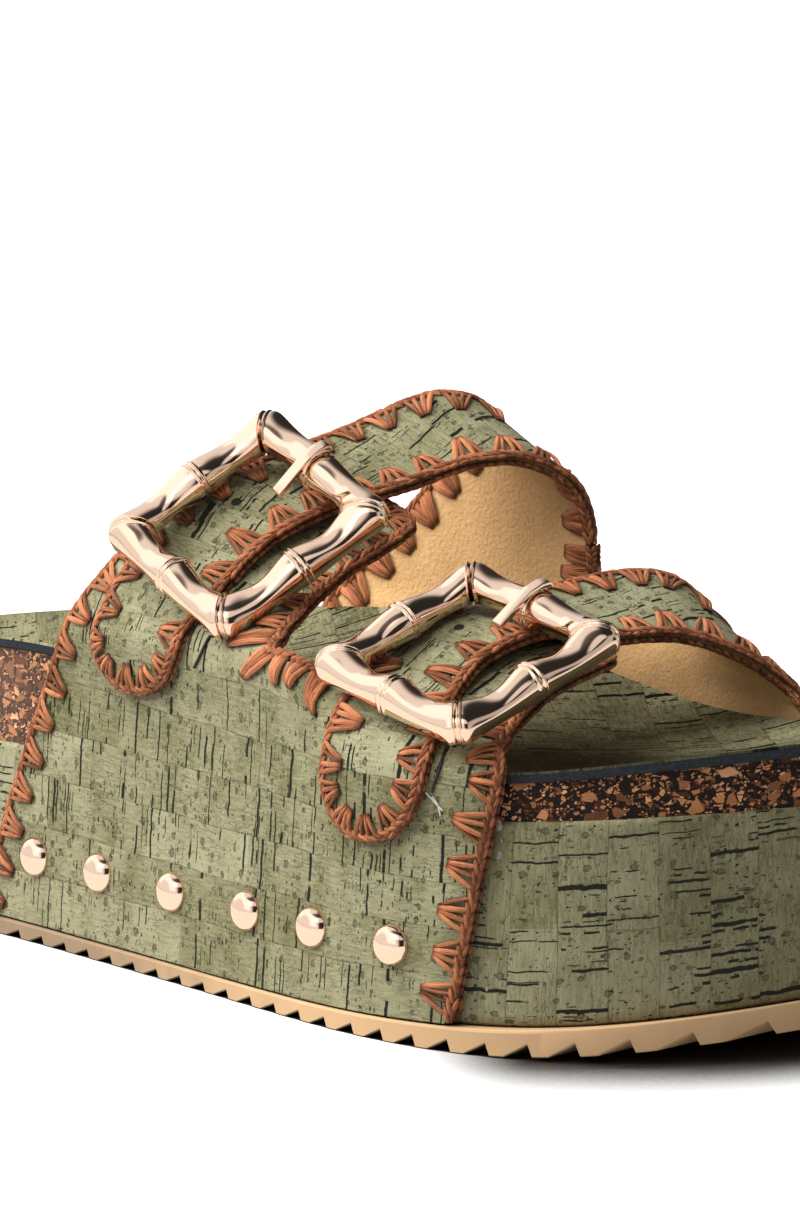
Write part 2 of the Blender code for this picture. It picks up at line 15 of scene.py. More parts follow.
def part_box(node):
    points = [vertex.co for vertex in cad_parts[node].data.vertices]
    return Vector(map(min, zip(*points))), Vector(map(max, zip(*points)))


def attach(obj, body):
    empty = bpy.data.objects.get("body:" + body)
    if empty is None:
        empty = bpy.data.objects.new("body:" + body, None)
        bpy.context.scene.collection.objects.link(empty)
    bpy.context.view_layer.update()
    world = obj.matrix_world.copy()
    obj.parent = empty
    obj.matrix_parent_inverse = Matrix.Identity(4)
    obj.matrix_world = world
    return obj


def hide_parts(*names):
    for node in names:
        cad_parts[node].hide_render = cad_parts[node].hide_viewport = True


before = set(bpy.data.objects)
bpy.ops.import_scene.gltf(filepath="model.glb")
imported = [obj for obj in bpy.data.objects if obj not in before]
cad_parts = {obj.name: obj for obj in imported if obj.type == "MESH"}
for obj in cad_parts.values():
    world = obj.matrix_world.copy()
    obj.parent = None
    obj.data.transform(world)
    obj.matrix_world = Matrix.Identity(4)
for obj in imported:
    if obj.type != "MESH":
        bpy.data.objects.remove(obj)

LOG = logging.getLogger("sandal")
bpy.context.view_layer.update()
MM = 0.001
BODY = "root"
RNG = np.random.default_rng(20)

Colour = tuple[float, float, float]
Row = Sequence[float]
Height = Callable[[np.ndarray], np.ndarray]


class Slot(Enum):
    """Material slots of the record."""

    RUBBER = "tan_rubber"
    WRAP = "olive_cork_fabric"
    CORK = "pressed_cork"
    INSOLE = "insole_cork"
    UPPER = "upper_cork_fabric"
    RAFFIA = "raffia"
    LINING = "lining"
    METAL = "rose_gold"


class Grain(Enum):
    """Which way the strips of a cork fabric run on a piece's own map."""

    ALONG_U = 0
    ALONG_V = 1


class Side(Enum):
    """Sides of the right shoe, with the sign that turns a sheet's outer face outwards."""

    LATERAL = 1.0
    MEDIAL = -1.0


def spline(knots: Sequence[float], rows: Any, closed: bool = False) -> Callable[[Any], np.ndarray]:
    """Make a smooth curve through rows.

    Args:
        knots: rising places of the rows.
        rows: one row of numbers per knot.
        closed: whether the curve returns to its first row.

    Returns:
        A function that reads the curve at any places.
    """
    t = np.asarray(knots, dtype=float)
    v = np.asarray(rows, dtype=float)
    n = len(t)
    h = np.diff(t)
    matrix = np.zeros((n, n))
    side = np.zeros((n, v.shape[1]))
    for i in range(1, n - 1):
        matrix[i, i - 1:i + 2] = h[i - 1], 2 * (h[i - 1] + h[i]), h[i]
        side[i] = 6 * ((v[i + 1] - v[i]) / h[i] - (v[i] - v[i - 1]) / h[i - 1])
    matrix[0, 0] = matrix[-1, -1] = 1.0
    if closed:
        matrix[0, -1] = -1.0
        matrix[-1, [0, 1, -2, -1]] = 2 * h[0], h[0], h[-1], 2 * h[-1]
        side[-1] = 6 * ((v[1] - v[0]) / h[0] - (v[-1] - v[-2]) / h[-1])
    bend = np.linalg.solve(matrix, side)

    def curve(x: Any) -> np.ndarray:
        """Read the curve."""
        x = np.clip(np.atleast_1d(np.asarray(x, dtype=float)), t[0], t[-1])
        i = np.clip(np.searchsorted(t, x, side="right") - 1, 0, n - 2)
        a = ((t[i + 1] - x) / h[i])[:, None]
        b = 1.0 - a
        step = (h[i] ** 2)[:, None] / 6.0
        return a * v[i] + b * v[i + 1] + step * ((a ** 3 - a) * bend[i] + (b ** 3 - b) * bend[i + 1])

    return curve


def table_curve(table: Sequence[Row]) -> Callable[[Any], np.ndarray]:
    """Make a smooth curve of a table's later columns over its first."""
    rows = np.asarray(table, dtype=float)
    return spline(rows[:, 0], rows[:, 1:])


def unit(v: np.ndarray) -> np.ndarray:
    """Scale vectors to length one."""
    return v / np.maximum(np.linalg.norm(v, axis=-1, keepdims=True), 1e-9)


def run_of(points: np.ndarray) -> np.ndarray:
    """Measure the distance along a line of points from its start."""
    return np.concatenate([[0.0], np.cumsum(np.linalg.norm(np.diff(points, axis=0), axis=1))])


def read_along(at: Any, run: np.ndarray, rows: np.ndarray) -> np.ndarray:
    """Read rows of numbers at distances along a line, straight between its points."""
    return np.stack([np.interp(at, run, column) for column in rows.T], axis=1)


def ease(x: Any) -> Any:
    """Blend smoothly from 0 to 1."""
    x = np.clip(x, 0.0, 1.0)
    return x * x * (3.0 - 2.0 * x)


# Shading


class Value:
    """A shader socket that can be used in expressions."""

    def __init__(self, shading: "Shading", socket: bpy.types.NodeSocket) -> None:
        """Keep the socket and the material that it belongs to."""
        self.shading = shading
        self.socket = socket

    def also(self, name: str) -> "Value":
        """Give another output of the same node."""
        return Value(self.shading, self.socket.node.outputs[name])

    def _maths(self, operation: str, *values: Any) -> "Value":
        """Add a Math node on the given values."""
        return self.shading.node("ShaderNodeMath", {"operation": operation}, dict(enumerate(values)))

    def __add__(self, other: Any) -> "Value":
        """Add."""
        return self._maths("ADD", self, other)

    __radd__ = __add__

    def __mul__(self, other: Any) -> "Value":
        """Multiply."""
        return self._maths("MULTIPLY", self, other)

    __rmul__ = __mul__

    def __sub__(self, other: Any) -> "Value":
        """Subtract from this value."""
        return self._maths("SUBTRACT", self, other)

    def __rsub__(self, other: Any) -> "Value":
        """Subtract this value."""
        return self._maths("SUBTRACT", other, self)

    def __truediv__(self, other: Any) -> "Value":
        """Divide."""
        return self._maths("DIVIDE", self, other)

    def floor(self) -> "Value":
        """Round down."""
        return self._maths("FLOOR", self)

    def fract(self) -> "Value":
        """Take the part after the point."""
        return self._maths("FRACT", self)

    def least(self, other: Any) -> "Value":
        """Take the smaller."""
        return self._maths("MINIMUM", self, other)

    def most(self, other: Any) -> "Value":
        """Take the larger."""
        return self._maths("MAXIMUM", self, other)

    def step(self, low: Any, high: Any) -> "Value":
        """Blend from 0 at low to 1 at high, or the other way round where low is larger."""
        settings = {"interpolation_type": "SMOOTHSTEP"}
        return self.shading.node("ShaderNodeMapRange", settings, {0: self, 1: low, 2: high, 3: 0.0, 4: 1.0})


class Shading:
    """A node tree that is written as expressions."""

    def __init__(self, tree: bpy.types.NodeTree) -> None:
        """Keep the tree."""
        self.tree = tree

    def node(self, kind: str, settings: dict | None = None, links: dict | None = None,
             out: Any = 0) -> Value:
        """Add any node.

        Args:
            kind: the node's type.
            settings: its properties, set first.
            links: values or sockets for its inputs, by name or number.
            out: the output to return.

        Returns:
            The output as a value.
        """
        made = self.tree.nodes.new(kind)
        for key, setting in (settings or {}).items():
            setattr(made, key, setting)
        for key, link in (links or {}).items():
            if isinstance(link, Value):
                self.tree.links.new(link.socket, made.inputs[key])
            else:
                made.inputs[key].default_value = link
        return Value(self, made.outputs[out])

    def map(self, name: str) -> tuple[Value, Value]:
        """Read a piece's own map in millimetres as two values."""
        place = self.node("ShaderNodeUVMap", {"uv_map": name})
        across = self.node("ShaderNodeSeparateXYZ", links={0: place}, out="X")
        return across, across.also("Y")

    def place(self) -> tuple[Value, Value, Value]:
        """Read the object's coordinates in millimetres as three values."""
        at = self.node("ShaderNodeTexCoord", out="Object")
        x = self.node("ShaderNodeSeparateXYZ", links={0: at}, out="X")
        return x * 1000.0, x.also("Y") * 1000.0, x.also("Z") * 1000.0

    def vector(self, x: Any, y: Any, z: Any = 0.0) -> Value:
        """Join values to a vector."""
        return self.node("ShaderNodeCombineXYZ", links={0: x, 1: y, 2: z})

    def noise(self, x: Any, y: Any, z: Any = 0.0, detail: float = 2.0, rough: float = 0.5) -> Value:
        """Add noise of about one unit's size."""
        links = {"Vector": self.vector(x, y, z), "Scale": 1.0, "Detail": detail, "Roughness": rough}
        return self.node("ShaderNodeTexNoise", {"noise_dimensions": "3D"}, links, "Fac")

    def cells(self, at: Any, dimensions: str = "2D", feature: str = "F1") -> Value:
        """Add cells of about one unit's size and give the distance to their middles."""
        links = {"W" if dimensions == "1D" else "Vector": at, "Scale": 1.0}
        settings = {"voronoi_dimensions": dimensions, "feature": feature}
        return self.node("ShaderNodeTexVoronoi", settings, links, "Distance")

    def openness(self, reach_mm: float) -> Value:
        """Measure how open the surroundings of a place are, from 0 in a recess to 1; used for painted shade
        and painted shadow.
        """
        return self.node("ShaderNodeAmbientOcclusion", {"samples": 16}, {"Distance": reach_mm * MM}, "AO")

    def parts(self, colour: Value) -> tuple[Value, Value, Value]:
        """Split a colour into three values."""
        red = self.node("ShaderNodeSeparateColor", links={0: colour}, out=0)
        return red, red.also("Green"), red.also("Blue")

    def mix(self, share: Any, first: Any, second: Any) -> Value:
        """Mix two colours by a share."""
        first = first if isinstance(first, Value) else (*first, 1.0)
        second = second if isinstance(second, Value) else (*second, 1.0)
        return self.node("ShaderNodeMix", {"data_type": "RGBA"}, {0: share, 6: first, 7: second}, 2)


class Coat(Shading):
    """A material with one shader, whose nodes are written as expressions."""

    def __init__(self, name: str) -> None:
        """Start a material with its one shader."""
        self.material = bpy.data.materials.new(name)
        self.material.use_nodes = True
        super().__init__(self.material.node_tree)
        self.shader = self.tree.nodes["Principled BSDF"]

    def bump(self, height: Value, depth_mm: float, strength: float = 1.0) -> None:
        """Raise the surface by a height of about 0 to 1."""
        links = {"Height": height, "Distance": depth_mm * MM, "Strength": strength}
        self.feed("Normal", self.node("ShaderNodeBump", links=links))

    def feed(self, socket: str, value: Any) -> None:
        """Set or link an input of the shader."""
        if isinstance(value, Value):
            self.tree.links.new(value.socket, self.shader.inputs[socket])
        elif isinstance(value, tuple):
            self.shader.inputs[socket].default_value = (*value, 1.0)
        else:
            self.shader.inputs[socket].default_value = value


@dataclass(frozen=True)
class CorkFabric:
    """Cork veneer on cloth: strips side by side, dark streaks across each strip, pores and faint cracks."""

    name: str
    grain: Grain
    light: Colour = (0.300, 0.284, 0.174)
    deep: Colour = (0.106, 0.100, 0.039)
    streak_and_shade_dark: Colour = (0.006, 0.007, 0.005)
    pore: Colour = (0.040, 0.038, 0.018)
    strip: float = 9.4
    block: float = 34.0
    streak_pitch: float = 4.6
    fine_pitch: float = 1.5
    pore_pitch: float = 3.4
    streak_share: float = 0.60
    thick: float = 0.29
    # strength of painted shade towards the toe and the lateral side
    painted_shade: float = 0.0
    shine: float = 0.3

    def streaks(self, sh: Shading, along: Value, t: Value, lane: Value, pitch: float, thick: float,
                share: float, reach: float, shift: float) -> Value:
        """Draw thin marks across the strips.

        Args:
            sh: the material.
            along: distance along the strips, with a wiggle.
            t: distance across them.
            lane: number of the strip.
            pitch: usual distance between marks.
            thick: usual half thickness.
            share: share of places left without a mark.
            reach: usual length of a mark.
            shift: seed.

        Returns:
            The marks from 0 to 1.
        """
        mark = sh.cells(along / pitch + lane * 17.3 + shift, "1D")
        red, green, blue = sh.parts(mark.also("Color"))
        uneven = sh.noise(along / 1.6, t / 1.1, lane + shift, 2.0)
        width = (red * red * 1.6 + 0.35) * (uneven + 0.5) * thick
        line = (mark * pitch).step(width + 0.09, width * 0.5)
        piece = sh.noise(blue * 40.0 + shift, t / reach, lane * 5.1, 1.0).step(0.43, 0.47)
        whole = (red + blue).fract().step(0.60, 0.62)
        return line * green.step(share, share + 0.02) * piece.most(whole)

    def pores(self, sh: Shading, s: Value, t: Value, pitch: float, share: float,
              shift: float) -> tuple[Value, Value]:
        """Draw round pores with a dark rim.

        Args:
            sh: the material.
            s: distance along the strips.
            t: distance across them.
            pitch: usual distance between pores.
            share: share of places left without one.
            shift: seed.

        Returns:
            The pores' floors and their rims from 0 to 1.
        """
        warp = (sh.noise(s / 0.8, t / 0.8, shift, 2.0) - 0.5) * 0.34
        cell = sh.cells(sh.vector(s / pitch + shift, t / pitch * 0.8))
        luck, size, _ = sh.parts(cell.also("Color"))
        there = luck.step(share, share + 0.03)
        radius = size * 0.13 + 0.06
        gap = cell + warp - radius
        return gap.step(0.02, -0.04) * there, (gap * gap).step(0.0022, 0.0) * there

    def make(self) -> bpy.types.Material:
        """Make the material."""
        sh = Coat(self.name)
        u, v = sh.map("cloth")
        s, t = (u, v) if self.grain is Grain.ALONG_U else (v, u)
        drift = sh.noise(s / 22.0, t / 22.0) - 0.5
        lane_at = (t + drift * 2.0) / self.strip
        lane = lane_at.floor()
        within = lane_at.fract()
        luck = sh.node("ShaderNodeTexWhiteNoise", {"noise_dimensions": "1D"}, {"W": lane + 3.7}, "Value")
        wiggle = (sh.noise(s / 7.0, t / 3.6, lane) - 0.5) * 1.0
        along = s + wiggle + luck * 61.0
        shape = (sh, along, t, lane)

        cluster = sh.noise(s / 15.0 + luck * 9.0, t / 11.0, 4.0, 1.0)
        marks = self.streaks(*shape, self.streak_pitch, self.thick, self.streak_share, 5.0, 0.0)
        fine = self.streaks(*shape, self.fine_pitch, self.thick * 0.6, 0.42, 3.6, 41.0)
        fine = fine * cluster.step(0.54, 0.60)
        dots = self.streaks(*shape, 0.9, 0.10, 0.45, 0.8, 77.0) * cluster.step(0.52, 0.42)
        dots = dots * sh.noise(s / 3.0, t / 3.0, 15.0, 2.0).step(0.50, 0.60)
        ragged = sh.noise(s / 0.5, t / 0.5, 0.0, 2.0).step(0.28, 0.46) * 0.35 + 0.65
        marks = (marks + fine * 0.9 + dots * 0.7).least(1.0) * ragged
        patch = sh.noise(s / 7.0, t / 7.0, 33.0, 2.0).step(0.46, 0.60)
        flecks = sh.noise(s / 0.75, t / 1.5, 27.0, 2.0, 0.6).step(0.635, 0.665) * patch
        marks = marks.most(flecks * 0.85)
        floors, rims = self.pores(sh, s, t, self.pore_pitch, 0.50, 0.0)
        small, _ = self.pores(sh, s, t, self.pore_pitch * 0.5, 0.62, 23.0)

        fibre = sh.noise(s / 3.6, t / 0.62, 2.0, 3.0, 0.65)
        speck = sh.noise(s / 0.45, t / 0.45, 6.0, 3.0, 0.7)
        cloud = sh.noise(s / 9.0 + luck * 31.0, lane * 2.3 + t / 16.0, 8.0, 3.0, 0.6)
        block = sh.parts(sh.cells(s / self.block + lane * 7.7, "1D").also("Color"))[0]
        crack = sh.noise(s / 4.0, t / 1.3, 12.0, 1.0) - 0.5
        cracks = (crack * crack).step(0.0008, 0.0) * sh.noise(s / 9.0, t / 7.0).step(0.44, 0.55)
        joint = within.least(1.0 - within) * self.strip
        joints = joint.step(0.20, 0.03) * sh.noise(s / 6.0, lane, 5.0).step(0.34, 0.6)
        stain = sh.noise(s / 4.5, t / 2.6, 21.0, 3.0, 0.6).step(0.62, 0.76)

        tone = cloud * 0.95 + luck * 0.20 + block * 0.26 + (fibre - 0.5) * 1.0 + (speck - 0.5) * 0.8 - 0.17
        base = sh.mix(tone.step(0.02, 1.0), self.deep, self.light)
        base = sh.mix(cracks * 0.42 + joints * 0.55 + stain * 0.50, base, self.pore)
        base = sh.mix(floors * 0.55 + small * 0.70, base, self.pore)
        base = sh.mix(rims * 0.70, base, self.pore)
        base = sh.mix((marks * 1.5).least(1.0), base, self.streak_and_shade_dark)
        # Painted shade: darker towards the toe and the lateral side, where the straps and the lateral rim
        # shade the insole.
        if self.painted_shade:
            x, y, _ = sh.place()
            base = sh.mix((x - y).step(46.0, 78.0) * self.painted_shade, base, self.streak_and_shade_dark)
        sh.feed("Base Color", base)
        sh.feed("Roughness", 0.70 - fibre * 0.18 + marks * 0.15)
        sh.feed("Specular IOR Level", self.shine)
        dents = marks + floors * 0.6 + small * 0.5 + rims * 0.4 + joints * 0.4 + cracks * 0.25
        sh.bump(fibre * 0.5 + speck * 0.35 - dents, 0.22, 0.85)
        return sh.material


@dataclass(frozen=True)
class PressedCork:
    """Angular cork chips of several sizes in a dark binder, with painted light making it paler towards the
    heel.
    """

    LAYERS: ClassVar[tuple[Row, ...]] = (  # pitch, share without a chip, gap between chips, seed
        (0.6, 0.60, 0.12, 5.0), (1.1, 0.70, 0.12, 1.0), (2.0, 0.84, 0.10, 13.0), (3.2, 0.885, 0.10, 9.0),
    )
    name: str = "pressed_cork_chips"
    binder: Colour = (0.013, 0.008, 0.007)
    chip: Colour = (0.56, 0.235, 0.105)
    pale: Colour = (0.76, 0.43, 0.23)
    brown: Colour = (0.060, 0.022, 0.013)
    painted_heel_light: Colour = (0.620, 0.420, 0.330)

    def make(self) -> bpy.types.Material:
        """Make the material."""
        sh = Coat(self.name)
        u, v = sh.map("cloth")
        # Painted light: more chips and a paler wash towards the heel, where the light falls brighter.
        heel = sh.place()[0].step(-20.0, -110.0)
        colour: Any = self.binder
        height: Any = None
        for pitch, share, gap, shift in self.LAYERS:
            warp = (sh.noise(u / pitch * 2.0, v / pitch * 2.0, shift, 2.0) - 0.5) * 0.30
            at = sh.vector(u / pitch * 0.9 + warp + shift, v / pitch * 1.15 - warp)
            red, green, _ = sh.parts(sh.cells(at).also("Color"))
            bound = sh.cells(at, "2D", "DISTANCE_TO_EDGE")
            few = heel * -0.26 + share
            chips = bound.step(gap, gap + 0.05) * red.step(few, few + 0.01)
            spots = sh.noise(u / 0.30, v / 0.30, shift, 3.0, 0.7)
            skin = sh.mix(green.step(0.05, 0.8), self.brown, self.chip)
            skin = sh.mix(green.step(0.70, 1.0) * 0.9, skin, self.pale)
            skin = sh.mix(spots.step(0.54, 0.68) * 0.75, skin, self.brown)
            colour = sh.mix(chips, colour, skin)
            height = chips if height is None else height.most(chips)
        fine = sh.noise(u / 0.4, v / 0.4, 3.0, 3.0, 0.7)
        colour = sh.mix(heel * 0.20, colour, self.painted_heel_light)
        sh.feed("Base Color", colour)
        sh.feed("Roughness", 0.58 + fine * 0.2)
        sh.feed("Specular IOR Level", 0.15)
        sh.bump(height * 0.5 + fine * 0.9, 0.28, 0.8)
        return sh.material


@dataclass(frozen=True)
class Rubber:
    """Satin crepe-coloured rubber with faint mottling, painted shade towards the heel and painted shade in
    its recesses.
    """

    name: str = "tan_outsole_rubber"
    base: Colour = (0.520, 0.335, 0.180)
    shade_and_mottle_tan: Colour = (0.250, 0.170, 0.102)
    nook_shade: Colour = (0.040, 0.027, 0.016)
    nook_shade_reach: float = 4.0

    def make(self) -> bpy.types.Material:
        """Make the material."""
        sh = Coat(self.name)
        x, y, z = sh.place()
        mottle = sh.noise(x / 6.0, y / 6.0, z / 6.0, 4.0, 0.6)
        fine = sh.noise(x / 0.5, y / 0.5, z / 0.5, 2.0)
        # Painted shade: the tan darkens towards the heel, mixed with the rubber's real mottling.
        heel_shade_and_mottle = x.step(70.0, -60.0) * 0.75 + (mottle - 0.5) * 0.5
        tan = sh.mix(heel_shade_and_mottle.step(0.0, 0.8), self.base, self.shade_and_mottle_tan)
        # Painted shade: darker in the tooth gaps and other recesses, by how open the surroundings are.
        sh.feed("Base Color", sh.mix(sh.openness(self.nook_shade_reach).step(0.14, 0.54), self.nook_shade, tan))
        sh.feed("Roughness", 0.50 + mottle * 0.14)
        sh.bump(fine * 0.7 + mottle, 0.05, 0.6)
        return sh.material


@dataclass(frozen=True)
class CastMetal:
    """Polished rose-gold plating, with painted shade in its nooks."""

    name: str = "rose_gold_plating"
    base: Colour = (0.955, 0.712, 0.555)
    nook_shade: Colour = (0.260, 0.150, 0.095)
    nook_shade_reach: float = 5.0
    roughness: float = 0.06

    def make(self) -> bpy.types.Material:
        """Make the material."""
        sh = Coat(self.name)
        # Painted shade: the plating darkens to brown in nooks, by how open the surroundings are.
        sh.feed("Base Color", sh.mix(sh.openness(self.nook_shade_reach).step(0.10, 0.62), self.nook_shade, self.base))
        sh.feed("Metallic", 1.0)
        sh.feed("Roughness", self.roughness)
        return sh.material


@dataclass(frozen=True)
class Raffia:
    """Flat raffia strands with fibres along them, with painted shade where they go through the fabric."""

    name: str = "terracotta_raffia"
    light: Colour = (0.665, 0.248, 0.112)
    deep: Colour = (0.085, 0.026, 0.011)

    def make(self) -> bpy.types.Material:
        """Make the material."""
        sh = Coat(self.name)
        across, along = sh.map("strand")
        tone = sh.node("ShaderNodeAttribute", {"attribute_name": "tone"}, out="Fac")
        fibre = sh.noise(across * 22.0, along * 1.4, tone * 90.0, 3.0, 0.7)
        # Painted shade: the strands darken towards both ends, where they go into the fabric and under the
        # chain.
        ends = along.step(0.0, 0.22) * along.step(1.0, 0.84)
        share = (tone * 0.50 + fibre * 1.80 - 0.66) * (ends * 0.62 + 0.38)
        sh.feed("Base Color", sh.mix(share.step(0.05, 0.95), self.deep, self.light))
        sh.feed("Roughness", 0.56 - fibre * 0.14)
        sh.feed("Specular IOR Level", 0.3)
        sh.bump(fibre, 0.34, 1.0)
        return sh.material


@dataclass(frozen=True)
class Lining:
    """Tan microfibre lining with a fine nap."""

    name: str = "tan_lining"
    base: Colour = (0.760, 0.460, 0.205)
    deep: Colour = (0.610, 0.350, 0.142)

    def make(self) -> bpy.types.Material:
        """Make the material."""
        sh = Coat(self.name)
        x, y, z = sh.place()
        nap = sh.noise(x / 0.7, y / 0.7, z / 0.7, 3.0, 0.65)
        cloud = sh.noise(x / 9.0, y / 9.0, z / 9.0, 2.0)
        sh.feed("Base Color", sh.mix((nap * 0.6 + cloud * 0.4).step(0.3, 0.7), self.deep, self.base))
        sh.feed("Roughness", 0.82)
        sh.feed("Sheen Weight", 0.25)
        pebble = sh.noise(x / 0.8, y / 0.8, z / 0.8, 1.0)
        sh.bump(nap * 0.5 + pebble, 0.20, 0.8)
        return sh.material


@dataclass(frozen=True)
class Plain:
    """A dyed material with a fine grain: felt, thread, glue, or the painted shade inside a hole."""

    name: str
    base: Colour
    deep: Colour
    roughness: float = 0.8
    grain: float = 0.5

    def make(self) -> bpy.types.Material:
        """Make the material."""
        sh = Coat(self.name)
        x, y, z = sh.place()
        size = self.grain
        nap = sh.noise(x / size, y / size, z / size, 3.0, 0.65)
        sh.feed("Base Color", sh.mix(nap.step(0.35, 0.65), self.deep, self.base))
        sh.feed("Roughness", self.roughness)
        sh.bump(nap, 0.12, 0.7)
        return sh.material


# Pieces


def finish_piece(obj: bpy.types.Object, material: bpy.types.Material, slot: Slot, *nodes: str) -> None:
    """Dress a piece, let it ride and hide the solids that it replaces.

    Args:
        obj: the finished piece.
        material: its finish.
        slot: the record's slot that the finish belongs to; not used.
        nodes: the solids that it replaces.
    """
    obj.data.materials.clear()
    obj.data.materials.append(material)
    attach(obj, BODY)
    if nodes:
        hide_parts(*nodes)
    LOG.info("%s: %d faces", obj.name, len(obj.data.polygons))


def only(obj: bpy.types.Object) -> None:
    """Make one object the only selected and active one."""
    bpy.ops.object.select_all(action="DESELECT")
    obj.select_set(True)
    bpy.context.view_layer.objects.active = obj


def added(name: str, add: Callable[..., Any], **settings: Any) -> bpy.types.Object:
    """Add a primitive with nothing else selected, and name it."""
    bpy.ops.object.select_all(action="DESELECT")
    add(**settings)
    obj = bpy.context.active_object
    obj.name = obj.data.name = name
    return obj


@contextmanager
def editing(obj: bpy.types.Object) -> Iterator[None]:
    """Hold one object in edit mode with all of it selected."""
    only(obj)
    bpy.ops.object.mode_set(mode="EDIT")
    bpy.ops.mesh.select_all(action="SELECT")
    yield
    bpy.ops.object.mode_set(mode="OBJECT")


def grid_piece(name: str, points: np.ndarray, uv: np.ndarray, flip: bool = False) -> bpy.types.Object:
    """Shape a grid primitive to rows of points.

    Args:
        name: the object's name.
        points: rows by columns by three, in metres.
        uv: rows by columns by two, in millimetres.
        flip: whether the faces are turned over.

    Returns:
        The new object.
    """
    rows, columns = points.shape[:2]
    cells = {"x_subdivisions": columns - 1, "y_subdivisions": rows - 1}
    obj = added(name, bpy.ops.mesh.primitive_grid_add, size=1.0, **cells)
    mesh = obj.data
    mesh.vertices.foreach_set("co", points.reshape(-1).astype(np.float32))
    layer = mesh.uv_layers[0]
    layer.name = "cloth"
    loops = np.empty(len(mesh.loops), dtype=np.int32)
    mesh.loops.foreach_get("vertex_index", loops)
    layer.data.foreach_set("uv", uv.reshape(-1, 2)[loops].reshape(-1).astype(np.float32))
    if flip:
        mesh.flip_normals()
    mesh.update()
    return obj


def join_pieces(parts: Sequence[bpy.types.Object], name: str) -> bpy.types.Object:
    """Join pieces to one and weld the points that meet."""
    only(parts[0])
    for part in parts:
        part.select_set(True)
    if len(parts) > 1:
        bpy.ops.object.join()
    obj = bpy.context.active_object
    obj.name = obj.data.name = name
    weld(obj)
    return obj


def weld(obj: bpy.types.Object, distance: float = 1e-6) -> None:
    """Merge points that lie on each other."""
    with editing(obj):
        bpy.ops.mesh.remove_doubles(threshold=distance)


def close_holes(obj: bpy.types.Object) -> None:
    """Fill the open ends of a piece and turn its faces outwards."""
    with editing(obj):
        bpy.ops.mesh.fill_holes(sides=0)
        bpy.ops.mesh.select_all(action="SELECT")
        bpy.ops.mesh.normals_make_consistent(inside=False)


def thicken(obj: bpy.types.Object, thickness_mm: float) -> None:
    """Give a sheet its thickness behind its face."""
    only(obj)
    wall = obj.modifiers.new("wall", "SOLIDIFY")
    wall.thickness = thickness_mm * MM
    wall.offset = -1.0
    bpy.ops.object.modifier_apply(modifier="wall")


def smooth(obj: bpy.types.Object, angle: float = 40.0) -> None:
    """Shade a piece smooth up to an angle."""
    only(obj)
    bpy.ops.object.shade_smooth_by_angle(angle=math.radians(angle))


def finish_shell(obj: bpy.types.Object, angle: float, material: bpy.types.Material, slot: Slot,
                 node: str) -> None:
    """Weld a shell's seam, close its ends, shade it smooth up to an angle and dress it."""
    weld(obj)
    close_holes(obj)
    smooth(obj, angle)
    finish_piece(obj, material, slot, node)


